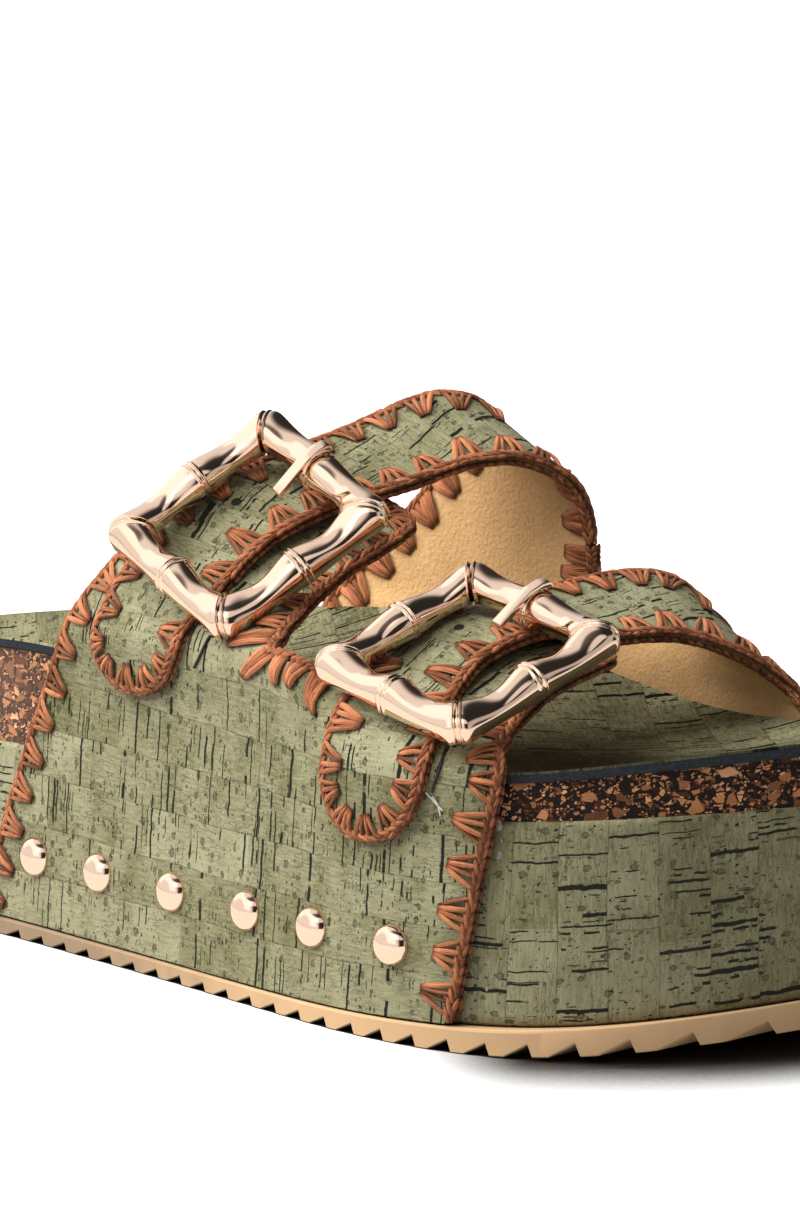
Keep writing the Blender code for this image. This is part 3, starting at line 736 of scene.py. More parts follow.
class Sole:
    """Outsole, wrapped platform, pressed cork footbed and insole."""

    LENGTH = 266.0
    OUTLINE = (  # x, y
        (0.0, 2.0), (8.0, -20.5), (28.0, -33.0), (60.0, -36.4), (101.0, -40.4), (132.0, -44.4),
        (164.0, -49.0), (195.0, -51.3), (218.0, -47.2), (234.0, -39.2), (250.0, -23.4), (261.0, -5.0),
        (266.0, 12.0), (259.0, 32.0), (243.0, 44.5), (222.0, 50.5), (197.0, 52.3), (160.0, 48.6),
        (134.0, 45.6), (110.0, 42.2), (60.0, 38.6), (28.0, 36.5), (8.0, 25.0),
    )
    THICKNESS = ((0.0, 3.6), (130.0, 3.6), (180.0, 4.1), (214.0, 5.0), (266.0, 5.4))  # x, thickness
    PLATFORM_TOP = (  # x, z
        (0.0, 36.5), (70.0, 38.2), (150.0, 41.0), (220.0, 43.8), (246.0, 45.8), (266.0, 46.8),
    )
    RIM = (  # x, lateral z, medial z, dip
        (0.0, 51.0, 51.0, 5.0), (15.0, 53.0, 52.6, 7.0), (40.0, 57.0, 55.5, 8.5), (70.0, 59.6, 59.0, 8.0),
        (100.0, 59.4, 62.3, 6.0), (130.0, 57.4, 63.0, 5.0), (168.0, 54.4, 55.4, 4.0),
        (195.0, 52.6, 51.2, 3.5), (216.0, 52.7, 52.0, 3.5), (240.0, 56.0, 55.5, 4.5),
        (266.0, 59.4, 59.4, 3.0),
    )
    FIRST_STATION = 0.25
    TOOTH_PITCH = 7.8
    TOOTH_DEPTH_SHARE = 0.48
    TOOTH_STEEP_RUN = 0.9
    TOOTH_LAND = 2.6
    EASE_LOW = 0.25
    EASE_TOP = 0.55
    SPRING_START = 212.0
    SPRING_RISE = 6.6
    SPRING_POWER = 1.9
    FOOT_INSET = 2.6
    WALL_LEAN = 0.08
    WALL_BULGE = 0.25
    FOLD = 1.1
    LEDGE = 1.0
    FOOTBED_LEAN = 0.03
    BOWL_REACH = 30.0
    BOWL_POWER = 2.4
    INSOLE_THICKNESS = 1.3
    INSOLE_TURN = 38.0
    INSOLE_ROWS = 110
    INSOLE_COLUMNS = 31
    FELT_DROP = 0.55
    FELT_THICKNESS = 1.4
    CORK_ROUGHNESS = 0.07
    EDGE_POINTS = 1200

    def __init__(self) -> None:
        """Trace the outline and set the tables' curves against the frame."""
        rows = np.asarray(self.OUTLINE + self.OUTLINE[:1])
        run = run_of(rows)
        self.edge = spline(run, rows, closed=True)(np.linspace(0.0, run[-1], self.EDGE_POINTS + 1)[:-1])
        along = unit(np.roll(self.edge, -1, axis=0) - np.roll(self.edge, 1, axis=0))
        self.inward = np.stack([-along[:, 1], along[:, 0]], axis=1)
        n = len(self.edge)
        heel, toe = int(np.argmin(self.edge[:, 0])), int(np.argmax(self.edge[:, 0]))
        self.sides = {
            Side.LATERAL: np.arange(heel, toe + (n if toe < heel else 0) + 1) % n,
            Side.MEDIAL: np.arange(heel, toe - (n if toe > heel else 0) - 1, -1) % n,
        }
        self.thickness = table_curve(self.THICKNESS)
        self.platform_top = table_curve(self.PLATFORM_TOP)
        self.rim = table_curve(self.RIM)
        low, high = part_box("outsole")
        self.shift = np.array([low[0] / MM - self.FIRST_STATION, high[1] / MM - self.edge[:, 1].max(), 0.0])

    def world(self, points: np.ndarray) -> np.ndarray:
        """Move points from the tables' millimetres to the frame's metres."""
        return (np.asarray(points) + self.shift) * MM

    def side_y(self, side: Side, x: Any, inset: float) -> Any:
        """Read the y of one side of the outline at x, drawn in by an inset."""
        line = self.edge[self.sides[side]] + self.inward[self.sides[side]] * inset
        order = np.argsort(line[:, 0])
        return np.interp(x, line[order, 0], line[order, 1])

    def spring(self, x: Any) -> Any:
        """Give the rise of the sole under the toe."""
        share = np.maximum(np.asarray(x) - self.SPRING_START, 0.0) / (self.LENGTH - self.SPRING_START)
        return self.SPRING_RISE * share ** self.SPRING_POWER

    def outsole_top(self, x: Any) -> Any:
        """Give the height of the outsole's upper face."""
        return self.spring(x) + self.thickness(x)[:, 0]

    def wall_inset(self, x: float, z: float) -> float:
        """Give how far the platform's side lies inside the outline at a height."""
        return self.FOOT_INSET + self.WALL_LEAN * (z - float(self.outsole_top(x)[0]))

    def footbed_height(self, x: float, share: float, width: float) -> float:
        """Give the height of the insole's face across a width from lateral to medial."""
        lateral, medial, dip = self.rim(x)[0]
        cross = float(ease(share))
        inside = min(min(share, 1.0 - share) * width / self.BOWL_REACH, 1.0)
        bowl = 1.0 - (1.0 - inside) ** self.BOWL_POWER
        return lateral + (medial - lateral) * cross - dip * bowl

    def build_outsole(self, material: bpy.types.Material) -> None:
        """Build the outsole from cuts across it, with saw-tooth ridges and eased edges."""
        steps = (0.0, 0.12, 0.3, 0.62, self.TOOTH_STEEP_RUN, 1.3, 2.2, 3.0, 3.5, 4.0, 5.0, 6.0, 7.0, 7.5)
        count = int(self.LENGTH / self.TOOTH_PITCH) + 1
        at = np.concatenate([k * self.TOOTH_PITCH + np.array(steps) for k in range(count)])
        ends = (0.1, 0.3, 0.8, 1.6, 2.6)
        at = np.concatenate([at, ends, self.LENGTH - np.array(ends)])
        at = np.unique(at[(at >= 0.1) & (at <= self.LENGTH - 0.1)])
        land_end = self.TOOTH_STEEP_RUN + self.TOOTH_LAND
        corners = (0.0, 0.12, self.TOOTH_STEEP_RUN, land_end, self.TOOTH_PITCH)
        tooth = np.interp(at % self.TOOTH_PITCH, corners, (1.0, 0.97, 0.0, 0.0, 1.0))
        thick = self.thickness(at)[:, 0]
        low = self.spring(at) + self.TOOTH_DEPTH_SHARE * thick * tooth
        top = self.spring(at) + thick
        left, right = self.side_y(Side.LATERAL, at, 0.0), self.side_y(Side.MEDIAL, at, 0.0)
        foot, brim = self.EASE_LOW, self.EASE_TOP
        wide = np.minimum((right - left) * 0.25, 1.0)
        rows = [(left + foot * wide, low), (left, low + foot), (left, top - brim),
                (left + brim * 0.35 * wide, top - brim * 0.3), (left + brim * wide, top)]
        mirror = [(left + right - y, z) for y, z in reversed(rows)]
        section = rows + mirror
        points = np.stack([np.stack([at, y, z], axis=1) for y, z in section + section[:1]], axis=1)
        uv = np.stack([points[..., 0], points[..., 1]], axis=-1)
        obj = grid_piece("outsole_rubber", self.world(points), uv)
        finish_shell(obj, 24.0, material, Slot.RUBBER, "outsole")

    def ring(self, profile: Sequence[tuple[float, Height]], step: int) -> np.ndarray:
        """Sweep a profile round the outline.

        Args:
            profile: pairs of an inset and a function that gives the height over x.
            step: how many outline points one column takes.

        Returns:
            Rows by columns of points, the last column on the first.
        """
        index = np.arange(0, len(self.edge) + 1, step) % len(self.edge)
        rows = []
        for inset, height in profile:
            plan = self.edge[index] + self.inward[index] * inset
            rows.append(np.concatenate([plan, height(plan[:, 0])[:, None]], axis=1))
        return np.array(rows)

    def ring_map(self, points: np.ndarray) -> np.ndarray:
        """Map a ring by the distance round it and up its profile."""
        middle = points[len(points) // 2]
        around = run_of(middle)[None, :].repeat(len(points), axis=0)
        up = np.linalg.norm(np.diff(points[1:], axis=0), axis=2).cumsum(axis=0)
        first = np.linalg.norm(points[1] - points[0], axis=1)
        return np.stack([around, np.concatenate([-first[None], np.zeros_like(first)[None], up])], axis=-1)

    def top_inset(self) -> float:
        """Give the inset of the platform's upper edge."""
        rise = float(self.platform_top(self.LENGTH / 2)[0, 0]) - float(self.outsole_top(self.LENGTH / 2)[0])
        return self.FOOT_INSET + self.WALL_LEAN * rise

    def build_platform(self, material: bpy.types.Material) -> None:
        """Build the wrapped platform with a folded upper edge."""
        top, fold = self.top_inset(), self.FOLD

        def between(share: float, drop: float = 0.0) -> Height:
            """Give a height function at a share of the wall."""
            def height(x: np.ndarray) -> np.ndarray:
                """Read the height over x."""
                low = self.outsole_top(x) + 0.15
                high = self.platform_top(x)[:, 0]
                return low + share * (high - low) - drop
            return height

        profile = [(self.FOOT_INSET + 9.0, between(0.0)), (self.FOOT_INSET + 0.9, between(0.0)),
                   (self.FOOT_INSET + 0.15, between(0.0, -0.7))]
        for share in np.linspace(0.06, 0.94, 9):
            bulge = self.WALL_BULGE * math.sin(math.pi * share)
            profile.append((self.FOOT_INSET + (top - self.FOOT_INSET) * share - bulge, between(share)))
        for turn in np.linspace(0.0, math.pi / 2, 5):
            profile.append((top + fold * (1 - math.cos(turn)), between(1.0, fold * (1 - math.sin(turn)))))
        profile.append((top + 9.0, between(1.0)))
        points = self.ring(profile, 3)
        obj = grid_piece("platform_wrap", self.world(points), self.ring_map(points))
        finish_shell(obj, 50.0, material, Slot.WRAP, "platform")

    def rim_height(self, drop: float) -> Height:
        """Give the height round the rim, lowered by a drop, for a ring's plan points in order."""
        def height(x: np.ndarray) -> np.ndarray:
            """Read the rim over x, on the lateral side first and the medial side after it."""
            lateral, medial, _ = self.rim(x).T
            toe = int(np.argmax(x))
            heel = int(np.argmin(x))
            order = (np.arange(len(x)) - heel) % (len(x) - 1)
            return np.where(order <= (toe - heel) % (len(x) - 1), lateral, medial) - drop
        return height

    def build_footbed(self, cork: bpy.types.Material) -> None:
        """Build the pressed cork's bare edge as a band with a rough face."""
        foot = self.top_inset() + self.LEDGE

        def base(x: np.ndarray) -> np.ndarray:
            """Read the platform's upper face."""
            return self.platform_top(x)[:, 0] - 0.1

        top = self.rim_height(self.INSOLE_THICKNESS + 0.05)

        def part(share: float) -> Height:
            """Give a height function at a share of the band."""
            return lambda x: base(x) + share * (top(x) - base(x))

        profile = [(foot + 6.0, base), (foot, base)]
        for share in np.linspace(0.08, 0.97, 12):
            profile.append((foot + 0.35 * share, part(share)))
        profile += [(foot + 0.8, part(1.0)), (foot + 1.6, part(0.7)), (foot + 3.0, part(0.35))]
        profile.append((foot + 6.0, base))
        points = self.ring(profile, 2)
        rough = RNG.normal(0.0, self.CORK_ROUGHNESS, points.shape[:2])
        rough[:, -1] = rough[:, 0]
        band = slice(2, len(profile) - 4)
        index = np.arange(0, len(self.edge) + 1, 2) % len(self.edge)
        points[band, :, :2] += rough[band, :, None] * self.inward[index][None]
        obj = grid_piece("footbed_edge", self.world(points), self.ring_map(points))
        finish_shell(obj, 60.0, cork, Slot.CORK, "footbed_cork")

    def ladder(self, inset: float, drop: float) -> tuple[np.ndarray, np.ndarray]:
        """Lay rows across the insole from heel to toe.

        Args:
            inset: how far the edge lies inside the outline.
            drop: how far under the insole's face.

        Returns:
            The rows of points and their map.
        """
        lines = []
        columns = self.INSOLE_COLUMNS
        share = np.linspace(0.0, 1.0, self.INSOLE_ROWS)
        share = 0.6 * share + 0.4 * (1 - np.cos(math.pi * share)) / 2
        for side in Side:
            index = self.sides[side]
            run = run_of(self.edge[index])
            at = 0.4 + share * (run[-1] - 0.8)
            drawn = self.edge[index] + self.inward[index] * inset
            lines.append(read_along(at, run, drawn))
        rows = []
        for lateral, medial in zip(*lines):
            width = float(np.linalg.norm(medial - lateral))
            row = []
            for c in range(columns):
                s = 0.5 - 0.5 * math.cos(math.pi * c / (columns - 1))
                x, y = lateral + s * (medial - lateral)
                row.append((x, y, self.footbed_height(x, s, width) - drop))
            rows.append(row)
        points = np.array(rows)
        turn = math.radians(self.INSOLE_TURN)
        u = points[..., 0] * math.cos(turn) - points[..., 1] * math.sin(turn)
        v = points[..., 0] * math.sin(turn) + points[..., 1] * math.cos(turn)
        return points, np.stack([u, v], axis=-1)

    def build_insole(self, face: bpy.types.Material, felt: bpy.types.Material) -> None:
        """Build the cork-faced insole sheet and the dark felt under it."""
        inset = self.top_inset() + self.LEDGE + 0.35
        for name, extra, drop, depth, material, nodes in (
                ("insole_face", 0.25, 0.0, self.FELT_DROP, face, ("insole",)),
                ("insole_felt", -0.1, self.FELT_DROP, self.FELT_THICKNESS, felt, ())):
            points, uv = self.ladder(inset + extra, drop)
            obj = grid_piece(name, self.world(points), uv, flip=True)
            thicken(obj, depth)
            smooth(obj, 60.0)
            finish_piece(obj, material, Slot.INSOLE, *nodes)


# Upper


@dataclass
class EdgeLine:
    """A sheet's edge: places, directions along it, inwards and out of the sheet."""

    at: np.ndarray
    along: np.ndarray
    inwards: np.ndarray
    out: np.ndarray
    run: np.ndarray

    def read(self, s: Any) -> tuple[np.ndarray, np.ndarray, np.ndarray, np.ndarray]:
        """Read the four at distances along the edge."""
        s = np.atleast_1d(s)
        at, *ways = (read_along(s, self.run, rows) for rows in (self.at, self.along, self.inwards, self.out))
        return at, *map(unit, ways)


class Tongue:
    """A band of a sheet from the sole's side to a rounded end, through control rows."""

    PANEL_OVER = 1.0
    PANEL_BLEND = 1.6

    def __init__(self, control: np.ndarray, rounding: float, turn: float, notch: float) -> None:
        """Keep the smooth surface.

        Args:
            control: rows by columns by three control points.
            rounding: length over which the end narrows.
            turn: the sign that turns the face outwards.
            notch: row value at which the band leaves the panel.
        """
        self.rows, self.columns = control.shape[:2]
        self.rounding = rounding
        self.panel: Callable[[float, np.ndarray], np.ndarray] | None = None
        self.panel_end = notch + self.PANEL_OVER
        self.first = 0
        self.turn = turn
        self.by_row = spline(np.arange(self.rows), control.reshape(self.rows, -1))
        fine = np.linspace(0.0, self.rows - 1.0, (self.rows - 1) * 40 + 1)
        middle = self.by_row(fine).reshape(len(fine), self.columns, 3)[:, self.columns // 2]
        self.fine, self.length_at = fine, run_of(middle)
        self.length = float(self.length_at[-1])
        self.leaves = float(self.length_of(notch))

    def row_at(self, length: Any) -> np.ndarray:
        """Give the row value at a distance along the middle."""
        return np.interp(length, self.length_at, self.fine)

    def length_of(self, row: Any) -> np.ndarray:
        """Give the distance along the middle at a row value."""
        return np.interp(row, self.fine, self.length_at)

    def line(self, row: float, shares: np.ndarray) -> np.ndarray:
        """Read points across the band at a row value, following the whole panel's form low down."""
        places = np.asarray(shares) * (self.columns - 1)
        knots = self.by_row(row).reshape(self.columns, 3)
        own = spline(np.arange(self.columns), knots)(places)
        joined = float(ease((self.panel_end - row) / self.PANEL_BLEND))
        if self.panel is None or joined == 0.0:
            return own
        return own + joined * (self.panel(row, self.first + places) - own)

    def narrowing(self, length: float, short: float = 0.0) -> float:
        """Give the share of the full width at a distance along, with the end cut shorter."""
        past = np.clip((length - (self.length - short - self.rounding)) / self.rounding, 0.0, 1.0)
        return math.sqrt(max(1.0 - past * past, 0.0))

    def frame_at(self, length: float, share: float) -> tuple[np.ndarray, np.ndarray]:
        """Give a point on the face and the way out of it."""
        row = float(self.row_at(length))
        step = 0.04
        back, ahead = max(row - step, 0.0), min(row + step, self.rows - 1.0)
        up = self.line(ahead, [share])[0] - self.line(back, [share])[0]
        low, high = max(share - step, 0.0), min(share + step, 1.0)
        over = self.line(row, [low, high])
        return self.line(row, [share])[0], self.turn * unit(np.cross(over[1] - over[0], up))


class Upper:
    """Lateral panel with its stubs, and medial panel with its straps, edged with crochet."""

    THICKNESS = 2.0
    FABRIC = 1.0
    CLEARANCE = 0.42
    FOOT_CLEARANCE = 0.4
    WALL_ROWS = 5
    COLUMNS = 8
    NOTCH_COLUMNS = 4
    NOTCH_DIP = (8.6, 1.5)  # rear, front
    NOTCH_POWER = 8.0
    NOTCH_FLARE = (2.0, 5.0, 5.0)
    FLARE_WAY = (0.70, -0.70, 0.16)
    NOTCH_ROW = {Side.LATERAL: 6.0, Side.MEDIAL: 6.35}
    EDGE_INSET = 2.0
    INSET_BLEND = 7.0
    PANEL_STEPS = 44
    ROW_STEP = 1.5
    EDGE_STEP = 0.5
    CLIMB_STEP = 0.8
    BAND_COLUMNS = 27
    NARROWEST = 0.06
    TAIL_ROUND = 13.0
    STUB_ROUND = 5.0
    LATERAL_PANEL = (  # share of wall height, rear x, notch rear x, notch front x, front x
        (0.0, 64.0, 157.0, 171.0, 212.0), (0.5, 73.3, 157.0, 171.0, 215.5), (1.0, 84.3, 156.5, 170.5, 219.0),
    )
    MEDIAL_PANEL = (
        (0.0, 72.0, 159.0, 178.0, 213.0), (0.5, 80.0, 159.0, 178.0, 215.5), (1.0, 92.0, 159.5, 178.0, 217.5),
    )
    LATERAL_WALL_TOP = ((60.0, 58.5), (225.0, 52.5))  # x, z
    MEDIAL_WALL_TOP = ((60.0, 60.0), (100.0, 61.5), (165.0, 57.0), (225.0, 52.0))
    REAR_STUB = (  # rear x, y, z, front x, y, z
        (88.5, -33.4, 67.0, 156.0, -42.5, 67.5), (95.5, -27.5, 78.8, 153.1, -33.1, 72.5),
        (101.0, -21.5, 86.0, 148.5, -19.5, 77.4), (106.0, -14.5, 91.3, 149.5, -10.0, 82.1),
        (110.5, -4.5, 94.8, 149.5, -0.2, 85.4), (115.0, 5.0, 97.0, 149.0, 9.0, 89.4),
    )
    FRONT_STUB = (
        (170.4, -44.4, 62.1, 215.0, -37.9, 57.0), (168.8, -36.8, 65.1, 211.5, -31.5, 59.8),
        (165.0, -24.0, 68.8, 210.5, -23.0, 64.2), (167.5, -14.5, 72.6, 210.5, -14.0, 67.0),
        (168.0, -4.0, 73.4, 208.5, -4.5, 68.0), (169.0, 6.5, 73.4, 206.0, 5.5, 68.9),
    )
    REAR_STRAP = (
        (97.0, 36.6, 67.0, 159.5, 44.3, 66.0), (111.0, 39.2, 82.0, 161.2, 44.3, 76.5),
        (124.5, 41.2, 96.5, 161.3, 43.6, 85.0), (132.5, 40.6, 105.0, 160.2, 41.6, 91.3),
        (131.5, 37.0, 109.0, 158.0, 37.4, 95.5), (128.3, 31.6, 110.1, 154.5, 31.5, 98.4),
        (124.0, 25.3, 108.3, 150.6, 24.0, 98.9), (119.0, 18.6, 104.4, 147.0, 17.0, 97.5),
        (115.5, 7.5, 100.9, 144.0, 7.0, 94.8),
    )
    FRONT_STRAP = (
        (179.0, 47.3, 62.0, 216.8, 46.6, 55.0), (184.5, 47.9, 68.0, 214.0, 45.6, 57.6),
        (185.5, 46.6, 72.5, 211.0, 42.6, 60.8), (183.8, 43.6, 76.2, 208.3, 38.2, 64.0),
        (180.3, 39.6, 78.4, 204.6, 32.2, 67.2), (176.0, 31.4, 78.5, 201.5, 26.3, 69.3),
        (172.5, 20.5, 77.1, 199.0, 18.0, 70.2), (171.5, 9.0, 76.6, 198.5, 7.0, 71.0),
    )
    REAR_TAIL = (  # stub row, rear share, front share, lift
        (9.0, 0.07, 0.72, 4.6), (8.0, 0.065, 0.67, 4.3), (7.0, 0.08, 0.64, 3.6), (6.0, 0.11, 0.62, 1.7),
        (5.0, 0.17, 0.61, 1.6), (4.3, 0.18, 0.61, 1.6), (3.8, 0.19, 0.61, 1.6),
    )
    FRONT_TAIL = (
        (9.0, 0.07, 0.71, 4.2), (8.0, 0.07, 0.67, 4.2), (7.0, 0.10, 0.66, 3.8), (6.0, 0.14, 0.66, 1.7),
        (5.0, 0.15, 0.69, 1.6), (4.0, 0.12, 0.69, 1.6), (3.2, 0.10, 0.68, 1.6), (2.6, 0.09, 0.68, 1.6),
    )

    def __init__(self, sole: Sole) -> None:
        """Work out the control rows of both sheets."""
        self.sole = sole
        lateral = self.wall(Side.LATERAL, self.LATERAL_PANEL, self.LATERAL_WALL_TOP)
        medial = self.wall(Side.MEDIAL, self.MEDIAL_PANEL, self.MEDIAL_WALL_TOP)
        starts = (0, self.COLUMNS + self.NOTCH_COLUMNS)
        spans = [slice(start, start + self.COLUMNS + 1) for start in starts]
        self.sheets: dict[Side, tuple[np.ndarray, list[Tongue]]] = {}
        self.middle: dict[Side, Tongue] = {}
        stubs = []
        for span, stub in zip(spans, (self.REAR_STUB, self.FRONT_STUB)):
            under = np.concatenate([lateral[:, span], self.straight_rows(stub)])
            stubs.append(Tongue(under, self.STUB_ROUND, Side.LATERAL.value, self.NOTCH_ROW[Side.LATERAL]))
        self.join_panel(Side.LATERAL, lateral, stubs)
        straps = []
        for span, stub, strap, tail in zip(spans, stubs, (self.REAR_STRAP, self.FRONT_STRAP),
                                           (self.REAR_TAIL, self.FRONT_TAIL)):
            over = np.concatenate([medial[:, span], self.straight_rows(strap), self.tail_rows(stub, tail)])
            straps.append(Tongue(over, self.TAIL_ROUND, Side.MEDIAL.value, self.NOTCH_ROW[Side.MEDIAL]))
        self.join_panel(Side.MEDIAL, medial, straps)

    def join_panel(self, side: Side, wall: np.ndarray, tongues: list[Tongue]) -> None:
        """Let a sheet's two tongues and the surface between them run into each other on the panel.

        Args:
            side: the sheet.
            wall: the panel's control rows.
            tongues: its rear and front tongue.
        """
        self.sheets[side] = (wall, tongues)
        rear, front = tongues
        middle = self.between(side)

        def panel(row: float, places: np.ndarray) -> np.ndarray:
            """Read points across the whole panel by columns from its rear edge."""
            knots = [tongue.by_row(row).reshape(-1, 3) for tongue in (rear, middle, front)]
            line = np.concatenate([knots[0], knots[1][1:-1], knots[2]])
            run = run_of(line)
            return spline(run, line)(np.interp(places, np.arange(len(line)), run))

        firsts = (0, self.COLUMNS, self.COLUMNS + self.NOTCH_COLUMNS)
        for tongue, first in zip((rear, middle, front), firsts):
            tongue.panel, tongue.first = panel, first
        self.middle[side] = middle

    def wall(self, side: Side, panel: Sequence[Row], wall_top: Sequence[Row]) -> np.ndarray:
        """Lay a panel's control rows on the sole's side, each from its rear to its front edge."""
        edges, top_of = table_curve(panel), table_curve(wall_top)
        rows = []
        for share in np.linspace(0.0, 1.0, self.WALL_ROWS):
            rear, notch_rear, notch_front, front = edges(share)[0]
            xs = np.concatenate([np.linspace(rear, notch_rear, self.COLUMNS + 1),
                                 np.linspace(notch_rear, notch_front, self.NOTCH_COLUMNS + 1)[1:-1],
                                 np.linspace(notch_front, front, self.COLUMNS + 1)])
            row = []
            for x in xs:
                foot = float(self.sole.outsole_top(x)[0]) + self.FOOT_CLEARANCE
                z = foot + share * (float(top_of(x)[0, 0]) - foot)
                inset = self.sole.wall_inset(x, z) - self.CLEARANCE - self.THICKNESS
                row.append((x, float(self.sole.side_y(side, x, inset)), z))
            rows.append(row)
        return np.array(rows)

    def straight_rows(self, table: Sequence[Row]) -> np.ndarray:
        """Lay control rows straight across between a rear and a front edge."""
        rows = np.asarray(table, dtype=float)
        share = np.linspace(0.0, 1.0, self.COLUMNS + 1)[None, :, None]
        return rows[:, None, :3] * (1.0 - share) + rows[:, None, 3:] * share

    def tail_rows(self, stub: Tongue, tail: Sequence[Row]) -> np.ndarray:
        """Lay a strap end's control rows over a stub."""
        rows = []
        for row, rear, front, lift in tail:
            length = float(stub.length_of(row))
            line = []
            for share in np.linspace(rear, front, self.COLUMNS + 1):
                point, out = stub.frame_at(length, share)
                line.append(point + out * lift)
            rows.append(line)
        return np.array(rows)

    def lengths(self, side: Side, tongue: Tongue, inset: float) -> np.ndarray:
        """Choose the distances along a tongue at which its grid has rows, the panel's common ones first."""
        panel = tongue.length_of(np.linspace(0.0, self.NOTCH_ROW[side], self.PANEL_STEPS))
        bend = tongue.length - inset - tongue.rounding
        free = np.linspace(tongue.leaves, bend, int((bend - tongue.leaves) / self.ROW_STEP) + 2)[1:]
        turn = np.linspace(0.0, math.pi / 2 * 0.985, 13)[1:]
        return np.concatenate([panel, free, bend + tongue.rounding * np.sin(turn)])

    def kept(self, tongue: Tongue, length: float, inset: float,
             notch_first: bool) -> tuple[float, float, float]:
        """Give the first and last share of a tongue's width that stay inside an inset, and the width."""
        ends = tongue.line(float(tongue.row_at(length)), [0.0, 1.0])
        width = float(np.linalg.norm(ends[1] - ends[0]))
        keep = [inset, inset]
        keep[0 if notch_first else 1] *= float(ease((length - tongue.leaves) / self.INSET_BLEND + 1.0))
        return keep[0] / width, 1.0 - keep[1] / width, width

    def band(self, side: Side, number: int, inset: float) -> tuple[np.ndarray, np.ndarray]:
        """Lay a fine grid over a tongue, drawn in from its edges.

        Args:
            side: the sheet.
            number: 0 for its rear tongue and 1 for its front one.
            inset: distance kept from the edge.

        Returns:
            The rows of points and their map.
        """
        tongue, middle = self.sheets[side][1][number], self.middle[side]
        columns = np.linspace(-1.0, 1.0, self.BAND_COLUMNS)
        points, uv = [], []
        for length in self.lengths(side, tongue, inset):
            row = float(tongue.row_at(length))
            low, high, width = self.kept(tongue, length, inset, number == 1)
            half = (high - low) / 2 * max(tongue.narrowing(length, inset), self.NARROWEST)
            shares = (low + high) / 2 + columns * half
            points.append(tongue.line(row, shares))
            up = float(middle.length_of(min(row, self.NOTCH_ROW[side]))) + max(length - tongue.leaves, 0.0)
            start = tongue.line(row, [0.0])[0, 0]
            uv.append(np.stack([start + shares * width, np.full(len(shares), up)], axis=1))
        return np.array(points), np.array(uv)

    def between(self, side: Side) -> Tongue:
        """Give the surface between a sheet's two tongues, from the panel's foot to over the notch."""
        wall, (rear, front) = self.sheets[side]
        share = np.linspace(0.0, 1.0, self.NOTCH_COLUMNS + 1)[:, None]
        way = np.array(self.FLARE_WAY) * (1.0, side.value, 1.0) * np.sin(np.pi * share)
        rows = list(wall[:, self.COLUMNS:self.COLUMNS + self.NOTCH_COLUMNS + 1])
        for row, flare in enumerate(self.NOTCH_FLARE, start=self.WALL_ROWS):
            rows.append(rear.line(row, [1.0]) * (1.0 - share) + front.line(row, [0.0]) * share + way * flare)
        return Tongue(np.array(rows), 1e-6, side.value, self.NOTCH_ROW[side])

    def lip(self, surface: Tongue, columns: np.ndarray, inset: float) -> np.ndarray:
        """Give the distance up to a notch's lower edge over columns from 0 to 1, drawn in."""
        dip = self.NOTCH_DIP[0] + np.sqrt(columns) * (self.NOTCH_DIP[1] - self.NOTCH_DIP[0])
        power = self.NOTCH_POWER
        flat = np.maximum(1.0 - np.abs(2.0 * columns - 1.0) ** power, 0.0) ** (1.0 / power)
        return surface.leaves - (dip + inset) * flat

    def build_sheet(self, side: Side, name: str, lift: float, inset: float) -> bpy.types.Object:
        """Build one face of a sheet: both tongues and the panel between them.

        Args:
            side: the sheet.
            name: the piece's name.
            lift: height over the outer face, negative under it.
            inset: distance kept from the edge.

        Returns:
            The sheet as one piece without thickness.
        """
        flip = side is Side.MEDIAL
        grids = [self.band(side, number, inset) for number in (0, 1)]
        grids.append(self.notch_grid(side, grids, inset))
        parts = []
        for number, (points, uv) in enumerate(grids):
            parts.append(grid_piece(f"{name}_{number}", self.sole.world(points), uv, flip))
        obj = join_pieces(parts, name)
        if lift:
            vertices = obj.data.vertices
            places, normals = (np.empty(len(vertices) * 3, dtype=np.float32) for _ in range(2))
            vertices.foreach_get("co", places)
            vertices.foreach_get("normal", normals)
            vertices.foreach_set("co", places + normals * lift * MM)
            obj.data.update()
        return obj

    def notch_grid(self, side: Side, grids: list[tuple[np.ndarray, np.ndarray]],
                   inset: float) -> tuple[np.ndarray, np.ndarray]:
        """Lay a grid between the two tongues' grids, up to the notch's round lower edge.

        Args:
            side: the sheet.
            grids: the points and maps of its rear and front tongue.
            inset: distance kept from the edge.

        Returns:
            The rows of points and their map.
        """
        (rear, front), middle = self.sheets[side][1], self.middle[side]
        columns = 0.5 - 0.5 * np.cos(np.pi * np.linspace(0.0, 1.0, 25))
        tops = middle.row_at(self.lip(middle, columns, inset))
        step = self.COLUMNS + self.NOTCH_COLUMNS
        points, uv = [], []
        for r, share in enumerate(np.linspace(0.0, 1.0, self.PANEL_STEPS)):
            line = []
            for column, row in zip(columns, share * tops):
                first = self.kept(rear, float(rear.length_of(row)), inset, False)[1] * self.COLUMNS
                last = self.kept(front, float(front.length_of(row)), inset, True)[0] * self.COLUMNS + step
                place = first + column * (last - first)
                if place <= self.COLUMNS:
                    line.append(rear.line(row, [place / self.COLUMNS])[0])
                elif place >= step:
                    line.append(front.line(row, [(place - step) / self.COLUMNS])[0])
                else:
                    line.append(middle.line(row, [(place - self.COLUMNS) / self.NOTCH_COLUMNS])[0])
            points.append(line)
            start, end = grids[0][1][r, -1, 0], grids[1][1][r, 0, 0]
            uv.append(np.stack([start + columns * (end - start), middle.length_of(share * tops)], axis=1))
        return np.array(points), np.array(uv)

